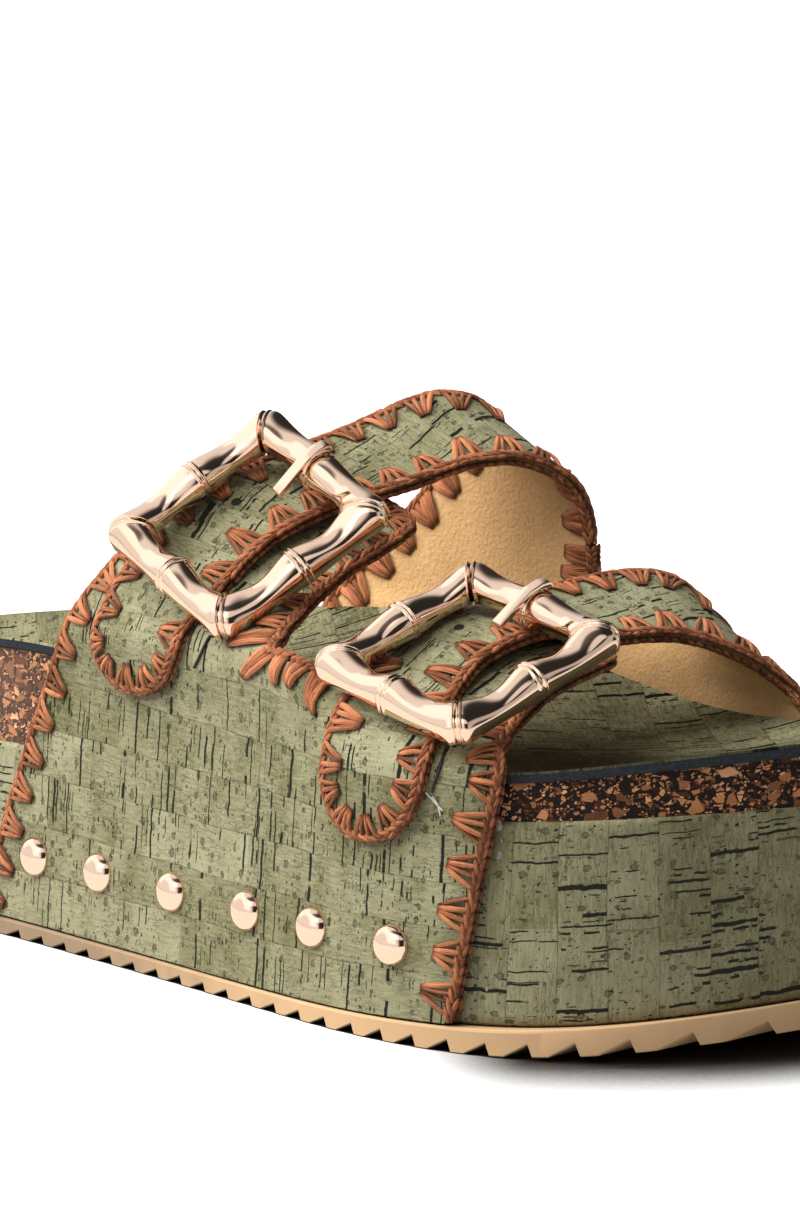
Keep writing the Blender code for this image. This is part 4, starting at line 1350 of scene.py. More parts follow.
    def edge_line(self, side: Side) -> EdgeLine:
        """Trace a sheet's edge: up the rear, round both tongues and the notch, and down the front."""
        _, tongues = self.sheets[side]
        at, out = [], []

        def climb(tongue: Tongue, share: float, start: float) -> tuple[list, list]:
            """Follow one edge of a tongue from a length up to where the end narrows."""
            stops = np.arange(start, tongue.length - tongue.rounding, self.CLIMB_STEP)
            made = [tongue.frame_at(s, share) for s in stops]
            return [m[0] for m in made], [m[1] for m in made]

        def turn_end(tongue: Tongue) -> tuple[list, list]:
            """Follow the rounded end from the first to the last column."""
            places, ways = [], []
            for angle in np.linspace(-math.pi / 2, math.pi / 2, 41):
                length = tongue.length - tongue.rounding * (1.0 - math.cos(angle))
                length = min(length, tongue.length - 0.02)
                point, way = tongue.frame_at(length, 0.5 + 0.5 * math.sin(angle))
                places.append(point)
                ways.append(way)
            return places, ways

        for k, tongue in enumerate(tongues):
            up = climb(tongue, 0.0, 0.0 if k == 0 else tongue.leaves)
            down = climb(tongue, 1.0, tongue.leaves if k == 0 else 0.0)
            for places, ways in (up, turn_end(tongue), (down[0][::-1], down[1][::-1])):
                at += places
                out += ways
            if k == 0:
                mid = self.middle[side]
                columns = 0.5 - 0.5 * np.cos(np.pi * np.linspace(0.0, 1.0, 31)[1:-1])
                for column, length in zip(columns, self.lip(mid, columns, 0.0)):
                    point, way = mid.frame_at(length, column)
                    at.append(point)
                    out.append(way)
        points, ways = np.array(at), np.array(out)
        keep = np.concatenate([[True], np.linalg.norm(np.diff(points, axis=0), axis=1) > 0.05])
        points, ways = points[keep], ways[keep]
        run = run_of(points)
        even = np.arange(0.0, run[-1], self.EDGE_STEP)
        points = self.soften(read_along(even, run, points), 5)
        ways = unit(self.soften(unit(read_along(even, run, ways)), 7))
        along = unit(np.gradient(points, axis=0))
        inwards = unit(side.value * np.cross(along, ways))
        return EdgeLine(points, along, inwards, ways, run_of(points))

    @staticmethod
    def soften(values: np.ndarray, width: int) -> np.ndarray:
        """Average values along a line over a few neighbours."""
        pad = width // 2
        padded = np.concatenate([values[:1].repeat(pad, axis=0), values, values[-1:].repeat(pad, axis=0)])
        return np.stack([padded[k:k + len(values)] for k in range(width)]).mean(axis=0)

    def guide(self, side: Side) -> BVHTree:
        """Give a sheet's whole outer face, up to its edge, to lay strands on."""
        whole = self.build_sheet(side, "guide", 0.0, 0.0)
        tree = BVHTree.FromObject(whole, bpy.context.evaluated_depsgraph_get())
        bpy.data.objects.remove(whole)
        return tree

    def build(self, fabric: bpy.types.Material, lining: bpy.types.Material,
              raffia: bpy.types.Material) -> None:
        """Build fabric, lining and crochet of both sheets."""
        for side, label in ((Side.LATERAL, "lateral"), (Side.MEDIAL, "medial")):
            face = self.build_sheet(side, f"{label}_fabric", 0.0, self.EDGE_INSET)
            thicken(face, self.FABRIC)
            smooth(face, 50.0)
            finish_piece(face, fabric, Slot.UPPER, *(("upper",) if side is Side.LATERAL else ()))
            inner = self.build_sheet(side, f"{label}_lining", -self.FABRIC - 0.02, self.EDGE_INSET - 0.1)
            thicken(inner, self.THICKNESS - self.FABRIC - 0.05)
            smooth(inner, 50.0)
            finish_piece(inner, lining, Slot.LINING)
            edge = self.edge_line(side)
            crochet = Crochet(edge, self.guide(side), self.sole, self.THICKNESS)
            for piece in (crochet.fans(f"{label}_fans", True), crochet.fans(f"{label}_inner_fans", False),
                          crochet.chain(f"{label}_chain")):
                finish_piece(piece, raffia, Slot.RAFFIA)


class Strands:
    """Many short raffia strands collected into one mesh."""

    SIDES = 6

    def __init__(self) -> None:
        """Start with no strands."""
        self.points: list[np.ndarray] = []
        self.faces: list[np.ndarray] = []
        self.maps: list[np.ndarray] = []
        self.tones: list[np.ndarray] = []
        self.count = 0

    def add(self, path: np.ndarray, flat: np.ndarray, wide: np.ndarray, thick: np.ndarray,
            tone: float) -> None:
        """Add one strand.

        Args:
            path: its middle line.
            flat: direction out of its flat face at each point.
            wide: half width at each point.
            thick: half thickness at each point.
            tone: its shade from 0 to 1.
        """
        n, sides = len(path), self.SIDES
        along = unit(np.gradient(path, axis=0))
        out = unit(flat - along * np.sum(flat * along, axis=1, keepdims=True))
        across = np.cross(along, out)
        angle = 2 * np.pi * np.arange(sides) / sides
        ring = (across[:, None] * (wide[:, None] * np.cos(angle))[..., None]
                + out[:, None] * (thick[:, None] * np.sin(angle))[..., None])
        self.points.append((path[:, None] + ring).reshape(-1, 3))
        i = np.arange(n - 1)[:, None] * sides
        j = np.arange(sides)[None]
        nxt = (j + 1) % sides
        quads = np.stack([i + j, i + nxt, i + nxt + sides, i + j + sides], axis=-1).reshape(-1, 4)
        self.faces.append(quads + self.count)
        start = np.arange(sides)[::-1] + self.count
        end = np.arange(sides) + (n - 1) * sides + self.count
        for cap in (start, end):
            for k in range(1, sides - 2, 2):
                self.faces.append(np.array([[cap[0], cap[k], cap[k + 1], cap[k + 2]]]))
        v = np.linspace(0.0, 1.0, n)[:, None].repeat(sides, axis=1)
        u = (np.arange(sides) / sides)[None].repeat(n, axis=0)
        self.maps.append(np.stack([u, v], axis=-1).reshape(-1, 2))
        self.tones.append(np.full(n * sides, tone))
        self.count += n * sides

    def mesh(self, name: str) -> bpy.types.Object:
        """Make the collected strands one object."""
        points, faces = np.concatenate(self.points), np.concatenate(self.faces)
        mesh = bpy.data.meshes.new(name)
        mesh.from_pydata(points.tolist(), [], faces.tolist())
        layer = mesh.uv_layers.new(name="strand")
        loops = np.empty(len(mesh.loops), dtype=np.int32)
        mesh.loops.foreach_get("vertex_index", loops)
        layer.data.foreach_set("uv", np.concatenate(self.maps)[loops].reshape(-1).astype(np.float32))
        tone = mesh.attributes.new("tone", "FLOAT", "POINT")
        tone.data.foreach_set("value", np.concatenate(self.tones).astype(np.float32))
        obj = bpy.data.objects.new(name, mesh)
        bpy.context.collection.objects.link(obj)
        smooth(obj, 70.0)
        return obj


class Crochet:
    """Crochet edging: fans of raffia from holes in the fabric to a chain along the edge."""

    PITCH = 8.3
    DEPTH = 7.8
    SPREAD = (-3.25, -1.15, 1.15, 3.25)
    HOLE_SPREAD = 0.22
    CHAIN_AT = 0.80
    LINK_HALF = 1.9
    STEPS = 7
    BEND_REACH = 6.0
    FULL_BEND = 0.35
    BEND_CLOSER = 0.50
    BEND_DEEPER = 0.50
    BEND_SHALLOWER = 0.30
    BEND_WIDER = 0.45
    BEND_NEARER = 0.70
    LEAN = (-1.2, 0.0, 0.0)
    INNER_END = 165.0
    FAN_WIDTH = {True: 0.50, False: 0.92}  # half a strand's width on the outer and on the inner face
    FAN_THICK = 0.40
    FAN_TONE = (0.52, 0.24)  # usual shade and how far it strays
    LINK_SIZE = (0.55, 0.50)  # half width, half thickness
    LOOP_SIZE = (0.50, 0.36)
    CHAIN_TONE = (0.44, 0.22)

    def __init__(self, edge: EdgeLine, guide: BVHTree, sole: Sole, thickness: float) -> None:
        """Keep the edge that is worked, the sheet's face and its thickness."""
        self.edge = edge
        self.guide = guide
        self.sole = sole
        self.thickness = thickness

    def settle(self, line: np.ndarray) -> tuple[np.ndarray, np.ndarray]:
        """Move points in the frame onto the sheet's face, and give the ways out of it there."""
        found = [self.guide.find_nearest(Vector(point)) for point in line]
        return np.array([f[0] for f in found]), np.array([f[1] for f in found])

    def fan_places(self) -> tuple[np.ndarray, np.ndarray]:
        """Choose the fans' places along the edge, closer together in a notch.

        Returns:
            Their distances along the edge, and the bend at each from -1 round an end to 1 in a notch.
        """
        run = self.edge.run
        before, after = (self.edge.read(run + step)[2] for step in (-self.BEND_REACH, self.BEND_REACH))
        bend = np.clip((1.0 - np.sum(before * after, axis=1)) / self.FULL_BEND, 0.0, 1.0)
        bend = bend * np.sign(np.sum((after - before) * self.edge.along, axis=1))
        density = 1.0 / (self.PITCH * (1.0 - self.BEND_CLOSER * np.maximum(bend, 0.0)))
        count = np.concatenate([[0.0], np.cumsum((density[1:] + density[:-1]) / 2 * np.diff(run))])
        total = int(round(count[-1]))
        at = np.interp((np.arange(total) + 0.5) * count[-1] / total, count, run)
        return at, np.interp(at, run, bend)

    def fans(self, name: str, outer: bool) -> bpy.types.Object:
        """Work the fans of one face.

        Args:
            name: the piece's name.
            outer: whether they lie on the outer face.

        Returns:
            The piece.
        """
        strands = Strands()
        t = np.linspace(0.0, 1.0, self.STEPS)
        arch = np.sin(np.pi * np.clip(t * 0.86 + 0.10, 0.0, 1.0))
        leaf = 0.50 + 0.50 * np.sin(np.pi * np.clip(t * 0.66 + 0.14, 0.0, 1.0))
        for middle, bend in zip(*self.fan_places()):
            jitter = RNG.normal(0.0, 1.0, 6)
            notch = max(bend, 0.0) if outer else 0.0
            depth = self.DEPTH * (1.0 + self.BEND_DEEPER * notch + self.BEND_SHALLOWER * min(bend, 0.0))
            depth += 0.35 * jitter[0]
            tight = 1.0 - self.BEND_CLOSER * max(bend, 0.0)
            hole, along, inwards, _ = (v[0] for v in self.edge.read(middle + 0.3 * jitter[1]))
            if not outer and hole[0] > self.INNER_END:
                continue
            back = np.array(self.LEAN) * notch
            for offset, shift in zip(self.SPREAD, jitter[2:]):
                start = hole + inwards * depth + along * offset * self.HOLE_SPREAD + back
                foot, _, foot_in, _ = (v[0] for v in self.edge.read(middle + offset * tight + 0.15 * shift))
                end = foot + foot_in * (self.CHAIN_AT + 0.25)
                line = start[None] * (1 - t)[:, None] + end[None] * t[:, None]
                at, way = self.settle(self.sole.world(line))
                if outer:
                    height = 0.05 + (0.70 + 0.10 * shift) * arch
                else:
                    way = -way
                    height = self.thickness - 0.1 + (0.65 + 0.1 * shift) * arch
                wide = self.FAN_WIDTH[outer] * leaf * (1.0 + 0.08 * shift + self.BEND_WIDER * notch)
                tone = float(np.clip(self.FAN_TONE[0] + self.FAN_TONE[1] * shift, 0.0, 1.0))
                strands.add(at + way * height[:, None] * MM, way, wide * MM, self.FAN_THICK * leaf * MM, tone)
        return strands.mesh(name)

    def chain(self, name: str) -> bpy.types.Object:
        """Work the chain along the edge: links on both sides of the rim, a loop over each strand's end."""
        strands = Strands()
        t = np.linspace(-1.0, 1.0, 6)
        leaf = 0.50 + 0.50 * np.cos(t * math.pi / 2) ** 0.7
        bow = 0.30 * np.cos(t * math.pi / 2)[:, None]
        link, loop_size = ([half * leaf * MM for half in size] for size in (self.LINK_SIZE, self.LOOP_SIZE))
        for middle, bend in zip(*self.fan_places()):
            tight = 1.0 - self.BEND_CLOSER * max(bend, 0.0)
            rim = self.CHAIN_AT * (1.0 - self.BEND_NEARER * max(bend, 0.0))
            for offset in self.SPREAD:
                jitter = RNG.normal(0.0, 1.0, 4)
                tone = np.clip(self.CHAIN_TONE[0] + self.CHAIN_TONE[1] * jitter, 0.0, 1.0)
                at, _, inwards, out = self.edge.read(middle + offset * tight + t * self.LINK_HALF * tight)
                slant = t[:, None] * 0.45 * (1.0 + 0.2 * jitter[0])
                reach = rim - 0.10 * jitter[1] + slant
                for front, height in ((1.0, -0.50), (-1.0, 0.50 - self.thickness)):
                    path = at + inwards * reach + out * (height + bow * front - 0.20 * t[:, None])
                    strands.add(self.sole.world(path), out * front - inwards, *link, float(tone[0]))
                    loop = at + inwards * (rim + 0.75 - 0.75 * t[:, None] + 0.1 * jitter[2])
                    loop = loop + out * (height + front * (0.52 + 1.2 * bow))
                    strands.add(self.sole.world(loop), out * front, *loop_size, float(tone[3]))
        return strands.mesh(name)


class Buckle:
    """A cast frame shaped like bamboo, with a flat prong over its inner bar."""

    ALONG = 45.2
    ACROSS = 43.5
    BAR = 7.6
    HEIGHT = 5.9
    WAIST_HEIGHT = 4.2
    WAIST_IN = 0.85
    WAIST_OUT = 0.45
    WALL = 2.4
    RING = 0.40
    RING_WIDTH = 0.0075
    BLUNT = 1.6
    GAP = 0.3
    PRONG = 2.6
    PRONG_THICK = 1.4

    def __init__(self, place: str, centre: Row, along: Row, up: Row, sole: Sole) -> None:
        """Set the frame's axes.

        Args:
            place: rear or front.
            centre: middle of its flat back in the tables' millimetres.
            along: direction along the shoe.
            up: direction up the strap.
            sole: the form that places it in the frame.
        """
        self.place = place
        self.sole = sole
        self.centre = np.array(centre)
        self.along = unit(np.array(along))
        self.up = unit(np.array(up) - self.along * np.dot(up, self.along))
        self.out = np.cross(self.along, self.up)

    def world(self, a: Any, u: Any, n: Any) -> np.ndarray:
        """Place points given along, up and out of the frame."""
        a, u, n = np.broadcast_arrays(a, u, n)
        points = self.centre + a[..., None] * self.along + u[..., None] * self.up + n[..., None] * self.out
        return self.sole.world(points)

    def build_frame(self, metal: bpy.types.Material) -> None:
        """Build the frame by sweeping a domed cut round four mitred bars."""
        half = self.BAR / 2
        sides = (((0, -1), self.ALONG, self.ACROSS), ((1, 0), self.ACROSS, self.ALONG),
                 ((0, 1), self.ALONG, self.ACROSS), ((-1, 0), self.ACROSS, self.ALONG))
        near = np.linspace(0.0, 0.045, 16)
        place = np.concatenate([np.linspace(0.0, 1.0, 81), near, 1.0 - near, 0.5 + near, 0.5 - near])
        place = np.unique(place.round(5))[:-1]
        turn = np.linspace(0.0, math.pi, 19)
        rows = []
        for (ox, oy), length, depth in sides:
            run = np.array([-oy, ox])
            for t in place:
                waist = math.sin(2 * math.pi * t) ** 2
                rings = 0.0
                for ring in (0.024, 0.485, 0.515, 0.976):
                    rings += math.exp(-((t - ring) / self.RING_WIDTH) ** 2)
                seam = math.exp(-(min(t, 1 - t) / 0.010) ** 2)
                swell = self.RING * rings - 0.30 * seam
                blunt = self.BLUNT * math.exp(-(min(t, 1 - t) / 0.045) ** 2)
                inner = half - self.WAIST_IN * waist + swell
                outer = half - self.WAIST_OUT * waist + swell * 0.6 - blunt
                height = self.HEIGHT - (self.HEIGHT - self.WAIST_HEIGHT) * waist + swell
                crest = (outer - inner) / 2
                span = (outer + inner) / 2
                wall = self.WALL - 0.5 * waist
                dome = np.cos(turn)
                o = np.concatenate([[outer - 0.3, outer], crest + span * dome, [-inner, -inner + 0.3]])
                h = np.concatenate([[0.0, 0.3], wall + (height - wall) * np.sin(turn), [0.3, 0.0]])
                reach = depth / 2 - half
                stretch = (t - 0.5) * (length - self.BAR + 2 * o)
                a = ox * (reach + o) + run[0] * stretch
                u = oy * (reach + o) + run[1] * stretch
                rows.append(self.world(a, u, h))
        rows.append(rows[0])
        points = np.array(rows)
        points = np.concatenate([points, points[:, :1]], axis=1)
        uv = np.zeros((*points.shape[:2], 2))
        obj = grid_piece(f"buckle_{self.place}_bamboo", points, uv)
        finish_shell(obj, 60.0, metal, Slot.METAL, f"buckle_{self.place}_frame")

    def build_prong(self, metal: bpy.types.Material) -> None:
        """Build the flat prong by extruding a primitive along the bar's profile and easing its edges."""
        bar = (self.ACROSS - self.BAR) / 2
        over = self.HEIGHT + self.GAP - 0.2
        half = self.BAR / 2
        path = ((bar + half * 1.05, over - 1.0), (bar + half * 0.85, over - 0.2),
                (bar + half * 0.4, over + 0.1), (bar - half * 0.35, over), (bar - half * 1.0, over - 0.8),
                (bar - 10.0, over - 2.9))
        obj = added(f"buckle_{self.place}_tongue", bpy.ops.mesh.primitive_plane_add, size=1.0)
        corners = ((-0.5, 0.0), (0.5, 0.0), (-0.5, 1.0), (0.5, 1.0))
        for vertex, (side, level) in zip(obj.data.vertices, corners):
            vertex.co = self.world(side * self.PRONG, path[0][0], path[0][1] + level * self.PRONG_THICK)
        with editing(obj):
            for (reach, height), (next_reach, next_height) in zip(path, path[1:]):
                move = self.up * (next_reach - reach) + self.out * (next_height - height)
                bpy.ops.mesh.extrude_region_move(TRANSFORM_OT_translate={"value": tuple(move * MM)})
            bpy.ops.mesh.select_all(action="SELECT")
            bpy.ops.mesh.normals_make_consistent(inside=False)
        eased = obj.modifiers.new("eased", "BEVEL")
        eased.width = 0.3 * MM
        eased.segments = 3
        eased.limit_method = "ANGLE"
        eased.angle_limit = math.radians(50.0)
        bpy.ops.object.modifier_apply(modifier="eased")
        smooth(obj, 45.0)
        finish_piece(obj, metal, Slot.METAL, f"buckle_{self.place}_prong")


class Studs:
    """Dome studs in a row on the lateral panel."""

    PLACES = (  # x, z
        (82.4, 17.4), (104.0, 17.6), (128.6, 17.8), (153.4, 18.2), (174.5, 18.5), (196.7, 18.5),
    )
    DIAMETER = 8.0
    HEIGHT = 2.6
    LIP = 0.35

    def __init__(self, sole: Sole, upper: Upper) -> None:
        """Keep the forms that place the studs."""
        self.sole = sole
        self.upper = upper

    def build(self, metal: bpy.types.Material) -> None:
        """Build each stud from half a ball, flattened, with a rolled lip."""
        sole, upper = self.sole, self.upper
        radius = self.DIAMETER / 2
        for number, (x, z) in enumerate(self.PLACES, start=1):
            inset = sole.wall_inset(x, z) - upper.CLEARANCE - upper.THICKNESS
            y = float(sole.side_y(Side.LATERAL, x, inset))
            behind, before = sole.side_y(Side.LATERAL, np.array([x - 4.0, x + 4.0]), inset)
            along = unit(np.array([1.0, (before - behind) / 8.0, 0.0]))
            rise = unit(np.array([0.0, sole.WALL_LEAN, 1.0]))
            out = unit(np.cross(along, rise))
            ball = {"segments": 40, "ring_count": 24, "radius": 1.0}
            obj = added(f"stud_dome_{number}", bpy.ops.mesh.primitive_uv_sphere_add, **ball)
            with editing(obj):
                bpy.ops.mesh.bisect(plane_co=(0, 0, 0), plane_no=(0, 0, 1), clear_inner=True, use_fill=True)
            for vertex in obj.data.vertices:
                c = vertex.co
                lip = self.LIP * math.exp(-((c.z - 0.06) / 0.06) ** 2)
                flat = math.hypot(c.x, c.y)
                place = along * c.x * radius + np.cross(out, along) * c.y * radius
                place = place * (1.0 + lip * 0.25 / max(flat, 0.3))
                dome = out * (self.HEIGHT * c.z ** 0.92 if c.z > 0 else 0.0)
                vertex.co = sole.world(np.array([x, y, z]) + (place + dome))
            finish_shell(obj, 60.0, metal, Slot.METAL, f"stud_{number}")


class Trim:
    """Punched strap holes, loose thread ends, a clear tag's stub and glue beside the panel's edge."""

    HOLES = (("rear", (120.0, -16.6, 91.2)), ("front", (183.4, -18.3, 73.8)))
    HOLE_RADIUS = 1.0
    THREADS = (
        ("front", ((204.3, -42.2, 57.2), (205.4, -44.6, 55.0), (206.0, -46.3, 52.6), (205.4, -47.0, 50.4),
                   (204.9, -47.2, 48.4))),
        ("rear", ((136.4, -37.5, 67.8), (135.7, -38.4, 66.0), (134.5, -39.2, 64.2), (133.1, -39.5, 62.4))),
    )
    THREAD_RADIUS = 0.26
    STUBS = (((203.6, -47.4, 48.2), (205.6, -47.1, 46.6), (207.4, -46.8, 45.2)),
             ((205.0, -47.2, 47.6), (206.4, -47.0, 46.0), (206.9, -46.9, 44.2)))
    STUB_RADIUS = 0.20
    GLUE = (  # x, z, radius
        (216.5, 42.9, 1.25), (217.3, 37.1, 1.15), (217.0, 32.4, 0.90), (216.6, 29.8, 0.45),
        (216.9, 26.6, 0.55), (216.4, 22.9, 0.40), (216.8, 20.1, 0.50), (216.2, 16.4, 0.35),
        (216.5, 12.2, 0.45), (217.6, 40.2, 0.40),
    )
    GLUE_HEIGHT = 0.30

    def __init__(self, sole: Sole, upper: Upper) -> None:
        """Keep the forms that carry the details."""
        self.sole = sole
        self.faces = {side: upper.guide(side) for side in Side}

    def build_hole(self, place: str, at: Row, dark: bpy.types.Material) -> None:
        """Build a punched hole's floor as a dark disc of painted shade, with its pressed rim on the strap."""
        spot, way, _, _ = self.faces[Side.MEDIAL].find_nearest(Vector(self.sole.world(np.array(at))))
        disc = {"vertices": 18, "radius": self.HOLE_RADIUS * MM, "fill_type": "NGON"}
        obj = added(f"strap_hole_{place}", bpy.ops.mesh.primitive_circle_add, **disc)
        with editing(obj):
            bpy.ops.mesh.inset(thickness=0.22 * MM, depth=-0.05 * MM)
        turn = way.to_track_quat("Z", "Y").to_matrix().to_4x4()
        obj.data.transform(Matrix.Translation(spot + way * 0.12 * MM) @ turn)
        thicken(obj, 0.3)
        smooth(obj)
        finish_piece(obj, dark, Slot.UPPER)

    def build_thread(self, name: str, route: Sequence[Row], radius: float,
                     material: bpy.types.Material) -> None:
        """Lay a short thread on the lateral panel through listed points."""
        rows = np.array(route)
        line = spline(run_of(rows), rows)(np.linspace(0.0, run_of(rows)[-1], 16))
        found = [self.faces[Side.LATERAL].find_nearest(Vector(point)) for point in self.sole.world(line)]
        ways = np.array([f[1] for f in found])
        path = np.array([f[0] for f in found]) + ways * radius * MM
        strands = Strands()
        size = np.full(len(path), radius * MM)
        strands.add(path, ways, size, size, 0.5)
        finish_piece(strands.mesh(name), material, Slot.RAFFIA)

    def build_glue(self, glue: bpy.types.Material) -> None:
        """Build the drops of glue on the platform's side as flattened balls."""
        drops = []
        upright = Vector((0.0, 0.0, 1.0))
        for number, (x, z, radius) in enumerate(self.GLUE):
            inset = self.sole.wall_inset(x, z)
            y = float(self.sole.side_y(Side.LATERAL, x, inset))
            ball = {"segments": 16, "ring_count": 8, "radius": radius * MM}
            obj = added(f"glue_drop_{number}", bpy.ops.mesh.primitive_uv_sphere_add, **ball)
            ahead = float(self.sole.side_y(Side.LATERAL, x + 1.0, inset))
            along = Vector((1.0, ahead - y, 0.0)).normalized()
            turn = Matrix((along, upright, along.cross(upright))).transposed().to_4x4()
            flat = Matrix.Diagonal((0.85, 1.15, self.GLUE_HEIGHT / radius, 1.0))
            place = Vector(self.sole.world(np.array((x, y, z))))
            obj.data.transform(Matrix.Translation(place) @ turn @ flat)
            drops.append(obj)
        obj = join_pieces(drops, "glue_drops")
        smooth(obj, 60.0)
        finish_piece(obj, glue, Slot.WRAP)

    def build(self) -> None:
        """Build all the small details."""
        # The hole's dark disc is painted shade standing in for the dark inside the hole.
        dark = Plain("painted_hole_shade", (0.012, 0.013, 0.009), (0.006, 0.006, 0.005), 0.9).make()
        black = Plain("black_thread", (0.020, 0.021, 0.022), (0.006, 0.006, 0.007), 0.6, 0.3).make()
        clear = Plain("clear_stub", (0.60, 0.60, 0.52), (0.42, 0.42, 0.36), 0.25, 1.5).make()
        glue = Plain("dried_glue", (0.33, 0.32, 0.30), (0.19, 0.18, 0.16), 0.3, 0.8).make()
        for place, at in self.HOLES:
            self.build_hole(place, at, dark)
        for place, route in self.THREADS:
            self.build_thread(f"thread_end_{place}", route, self.THREAD_RADIUS, black)
        for number, route in enumerate(self.STUBS, start=1):
            self.build_thread(f"tag_stub_{number}", route, self.STUB_RADIUS, clear)
        self.build_glue(glue)


class Studio:
    """Pale floor, soft lights and the photograph's camera."""

    AZIMUTH = 45.0
    ELEVATION = 9.17
    DISTANCE = 1300.0
    FOCAL_PIXELS = 6757.4
    IMAGE = (800, 1209)
    SENSOR = 36.0
    TARGET = (169.17, -20.0, 76.7)
    CONTACT = 95.0
    FLOOR_SIZE = 12.0
    FLOOR_GLOW = 0.25
    FLOOR_PALE = (0.96, 0.958, 0.955)
    FLOOR_SHADOW = (0.020, 0.016, 0.013)
    KEY_WAY = (-97.0, 33.0)  # degrees round from the camera, degrees over the floor
    KEY_ANGLE = 38.0
    KEY_POWER = 4.9
    BOX_WAY = (-70.0, 68.0)
    BOX_DISTANCE = 0.9
    BOX_SIZE = (0.9, 0.45)
    BOX_POWER = 10.0
    FILL = 0.24
    BACKDROP = 1.05

    def __init__(self, sole: Sole) -> None:
        """Keep the form that places the target."""
        self.target = Vector(sole.world(np.array(self.TARGET)))

    @staticmethod
    def way(azimuth: float, elevation: float) -> Vector:
        """Give the direction at degrees round the sandal and over the floor."""
        a, e = math.radians(azimuth), math.radians(elevation)
        return Vector((math.sin(a) * math.cos(e), -math.cos(a) * math.cos(e), math.sin(e)))

    def axes(self) -> tuple[Vector, Vector, Vector]:
        """Give the camera's right, up and back directions."""
        back = self.way(self.AZIMUTH, self.ELEVATION)
        right = self.way(self.AZIMUTH + 90.0, 0.0)
        return right, back.cross(right), back

    def build_camera(self) -> None:
        """Set the camera at the photograph's angle and framing."""
        right, up, back = self.axes()
        data = bpy.data.cameras.new("photo_camera")
        data.sensor_width = self.SENSOR
        data.lens = self.FOCAL_PIXELS * self.SENSOR / max(self.IMAGE)
        data.clip_end = 20.0
        camera = bpy.data.objects.new("photo_camera", data)
        turn = Matrix((right, up, back)).transposed().to_4x4()
        camera.matrix_world = Matrix.Translation(self.target + back * self.DISTANCE * MM) @ turn
        bpy.context.collection.objects.link(camera)
        bpy.context.scene.camera = camera

    def build_floor(self) -> None:
        """Lay a wide pale floor with a painted contact shadow round the sandal, stronger towards the toe."""
        floor = added("studio_floor", bpy.ops.mesh.primitive_plane_add, size=self.FLOOR_SIZE)
        sh = Coat("pale_floor")
        sh.feed("Roughness", 0.6)
        sh.feed("Specular IOR Level", 0.2)
        seen = sh.node("ShaderNodeLightPath", out="Is Camera Ray")
        tint = sh.mix(seen.also("Is Glossy Ray"), (0.40, 0.38, 0.35), (0.58, 0.55, 0.51))
        dull = sh.node("ShaderNodeBsdfDiffuse", links={"Color": tint})
        x, y, _ = sh.place()
        # Painted shadow: dark where the sandal closes in the floor and spreading further towards the toe,
        # where the cast shadow falls.
        toe = (x + y).step(2.0, 52.0)
        free = sh.openness(self.CONTACT)
        shade = (free.step(0.97, 0.64) * (toe * 0.88 + 0.12)).most(free.step(0.54, 0.38))
        sh.feed("Base Color", sh.mix(shade, self.FLOOR_PALE, self.FLOOR_SHADOW))
        sh.feed("Emission Color", sh.mix(shade, (1.0, 1.0, 1.0), (0.0, 0.0, 0.0)))
        sh.feed("Emission Strength", self.FLOOR_GLOW)
        both = sh.node("ShaderNodeMixShader", links={0: seen, 1: dull, 2: Value(sh, sh.shader.outputs[0])})
        sh.tree.links.new(both.socket, sh.tree.nodes["Material Output"].inputs["Surface"])
        floor.data.materials.append(sh.material)

    def hang(self, data: bpy.types.Light, way: tuple[float, float], distance: float = 0.0) -> None:
        """Hang a light that points at the sandal.

        Args:
            data: the light.
            way: degrees from the camera's side, positive to the right, and degrees over the floor.
            distance: metres from the sandal.
        """
        back = self.way(self.AZIMUTH + way[0], way[1])
        lamp = bpy.data.objects.new(data.name, data)
        lamp.location = self.target + back * distance
        lamp.visible_glossy = False
        lamp.rotation_euler = back.to_track_quat("Z", "Y").to_euler()
        bpy.context.collection.objects.link(lamp)

    def build_lights(self) -> None:
        """Hang an even key light on the heel's side and a soft box overhead."""
        key = bpy.data.lights.new("key_sun", "SUN")
        key.energy = self.KEY_POWER
        key.angle = math.radians(self.KEY_ANGLE)
        self.hang(key, self.KEY_WAY)
        box = bpy.data.lights.new("top_box", "AREA")
        box.shape = "RECTANGLE"
        box.size, box.size_y = self.BOX_SIZE
        box.energy = self.BOX_POWER
        self.hang(box, self.BOX_WAY, self.BOX_DISTANCE)

    def build_surround(self) -> None:
        """Surround the sandal with white for the eye, and with pale and dark walls for the metal."""
        world = bpy.data.worlds.new("studio_surround")
        world.use_nodes = True
        sh = Shading(world.node_tree)
        way = sh.node("ShaderNodeTexCoord", out="Generated")
        right, _, back = self.axes()

        def toward(direction: Vector) -> Value:
            """Measure how far a ray leaves toward a direction."""
            links = {0: way, 1: tuple(direction)}
            return sh.node("ShaderNodeVectorMath", {"operation": "DOT_PRODUCT"}, links, "Value")

        across, height, ahead = toward(right), toward(Vector((0.0, 0.0, 1.0))), toward(back)
        gloom = ahead.step(0.22, 0.42) * height.step(0.78, 0.87)
        wall = across.step(0.20, -0.12) * (1.0 - gloom) * 0.74 + across.step(0.40, -0.55) * 0.16
        window = across.step(-0.28, -0.36) * across.step(-0.90, -0.82) * height.step(0.10, 0.20)
        window = window * height.step(0.86, 0.76) * (1.0 - gloom)
        front = ahead.step(0.60, 0.70) * height.step(0.46, 0.56) * height.step(0.86, 0.80)
        card = across.step(0.62, 0.72) * across.step(0.97, 0.90) * height.step(0.62, 0.45)
        metal_sees = wall + window * 0.45 + front * 0.78 + card * 0.50 + 0.025

        def light(colour: Colour, strength: Any) -> Value:
            """Add a light of the surround."""
            return sh.node("ShaderNodeBackground", links={"Color": (*colour, 1.0), "Strength": strength})

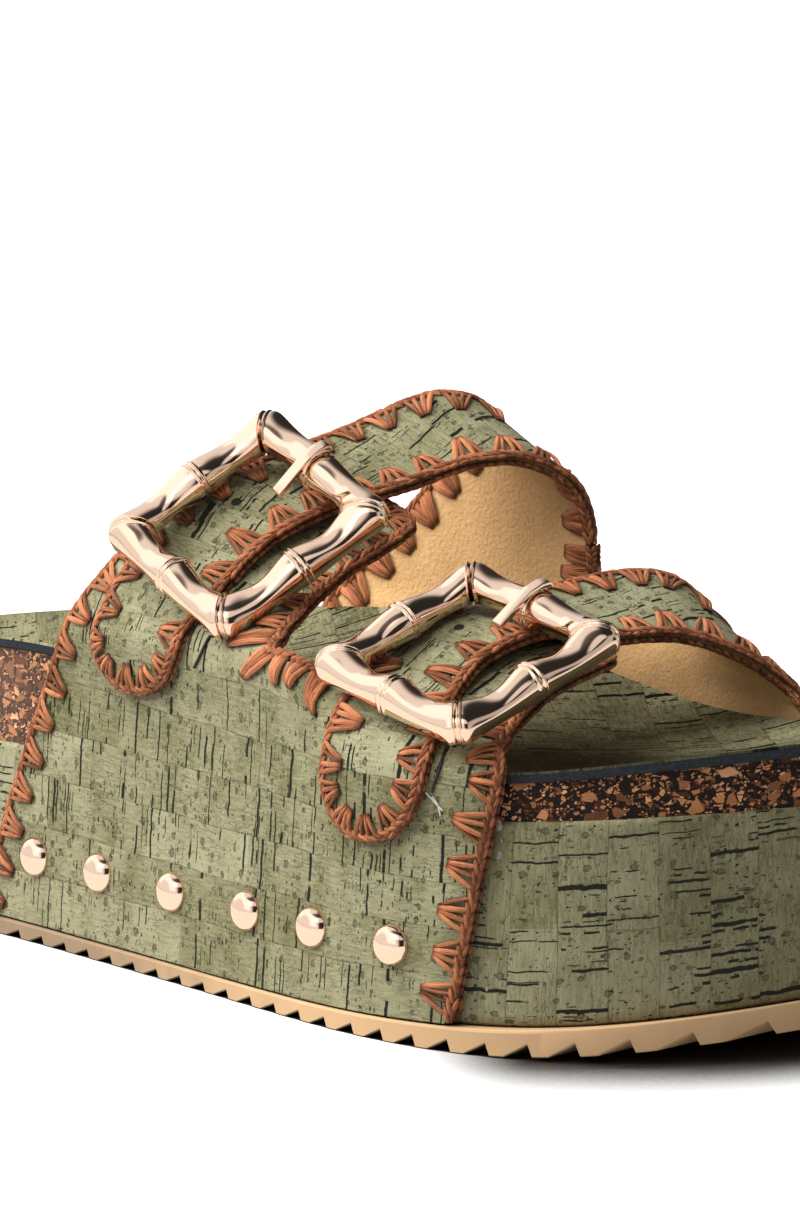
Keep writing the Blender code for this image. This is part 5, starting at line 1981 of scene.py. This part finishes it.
        lit = light((1.0, 0.99, 0.97), self.FILL)
        mirror = light((1.0, 0.97, 0.95), metal_sees)
        seen = light((1.0, 1.0, 1.0), self.BACKDROP)
        path = sh.node("ShaderNodeLightPath", out="Is Camera Ray")
        inner = sh.node("ShaderNodeMixShader", links={0: path.also("Is Glossy Ray"), 1: lit, 2: mirror})
        both = sh.node("ShaderNodeMixShader", links={0: path, 1: inner, 2: seen})
        world.node_tree.links.new(both.socket, world.node_tree.nodes["World Output"].inputs["Surface"])
        bpy.context.scene.world = world
        bpy.context.scene.view_settings.view_transform = "Standard"


BUCKLES = (  # place, centre of the flat back, direction along the shoe, direction up the strap
    ("rear", (130.1, -22.3, 87.2), (0.924, -0.160, -0.347), (0.341, 0.768, 0.542)),
    ("front", (194.8, -27.3, 69.55), (0.979, -0.083, -0.184), (0.152, 0.917, 0.369)),
)


def main() -> None:
    """Build the studio, the sole, the upper and the metal pieces."""
    logging.basicConfig(level=logging.INFO, format="%(name)s %(message)s")
    sole = Sole()
    studio = Studio(sole)
    studio.build_camera()
    studio.build_floor()
    studio.build_lights()
    studio.build_surround()
    metal = CastMetal().make()
    sole.build_outsole(Rubber().make())
    sole.build_platform(CorkFabric("platform_cork_fabric", Grain.ALONG_V).make())
    sole.build_footbed(PressedCork().make())
    felt = Plain("dark_felt", (0.014, 0.019, 0.023), (0.004, 0.006, 0.008), 0.9, 0.45)
    # The insole takes painted shade towards the toe and the lateral side.
    bed = CorkFabric("insole_cork_fabric", Grain.ALONG_U, (0.250, 0.236, 0.135), (0.068, 0.063, 0.029),
                     streak_share=0.34, thick=0.36, painted_shade=0.70, shine=0.04)
    sole.build_insole(bed.make(), felt.make())
    upper = Upper(sole)
    upper.build(CorkFabric("upper_cork_fabric", Grain.ALONG_U).make(), Lining().make(), Raffia().make())
    for place, centre, along, up in BUCKLES:
        buckle = Buckle(place, centre, along, up, sole)
        buckle.build_frame(metal)
        buckle.build_prong(metal)
    Studs(sole, upper).build(metal)
    Trim(sole, upper).build()


if __name__ == "__main__":
    main()
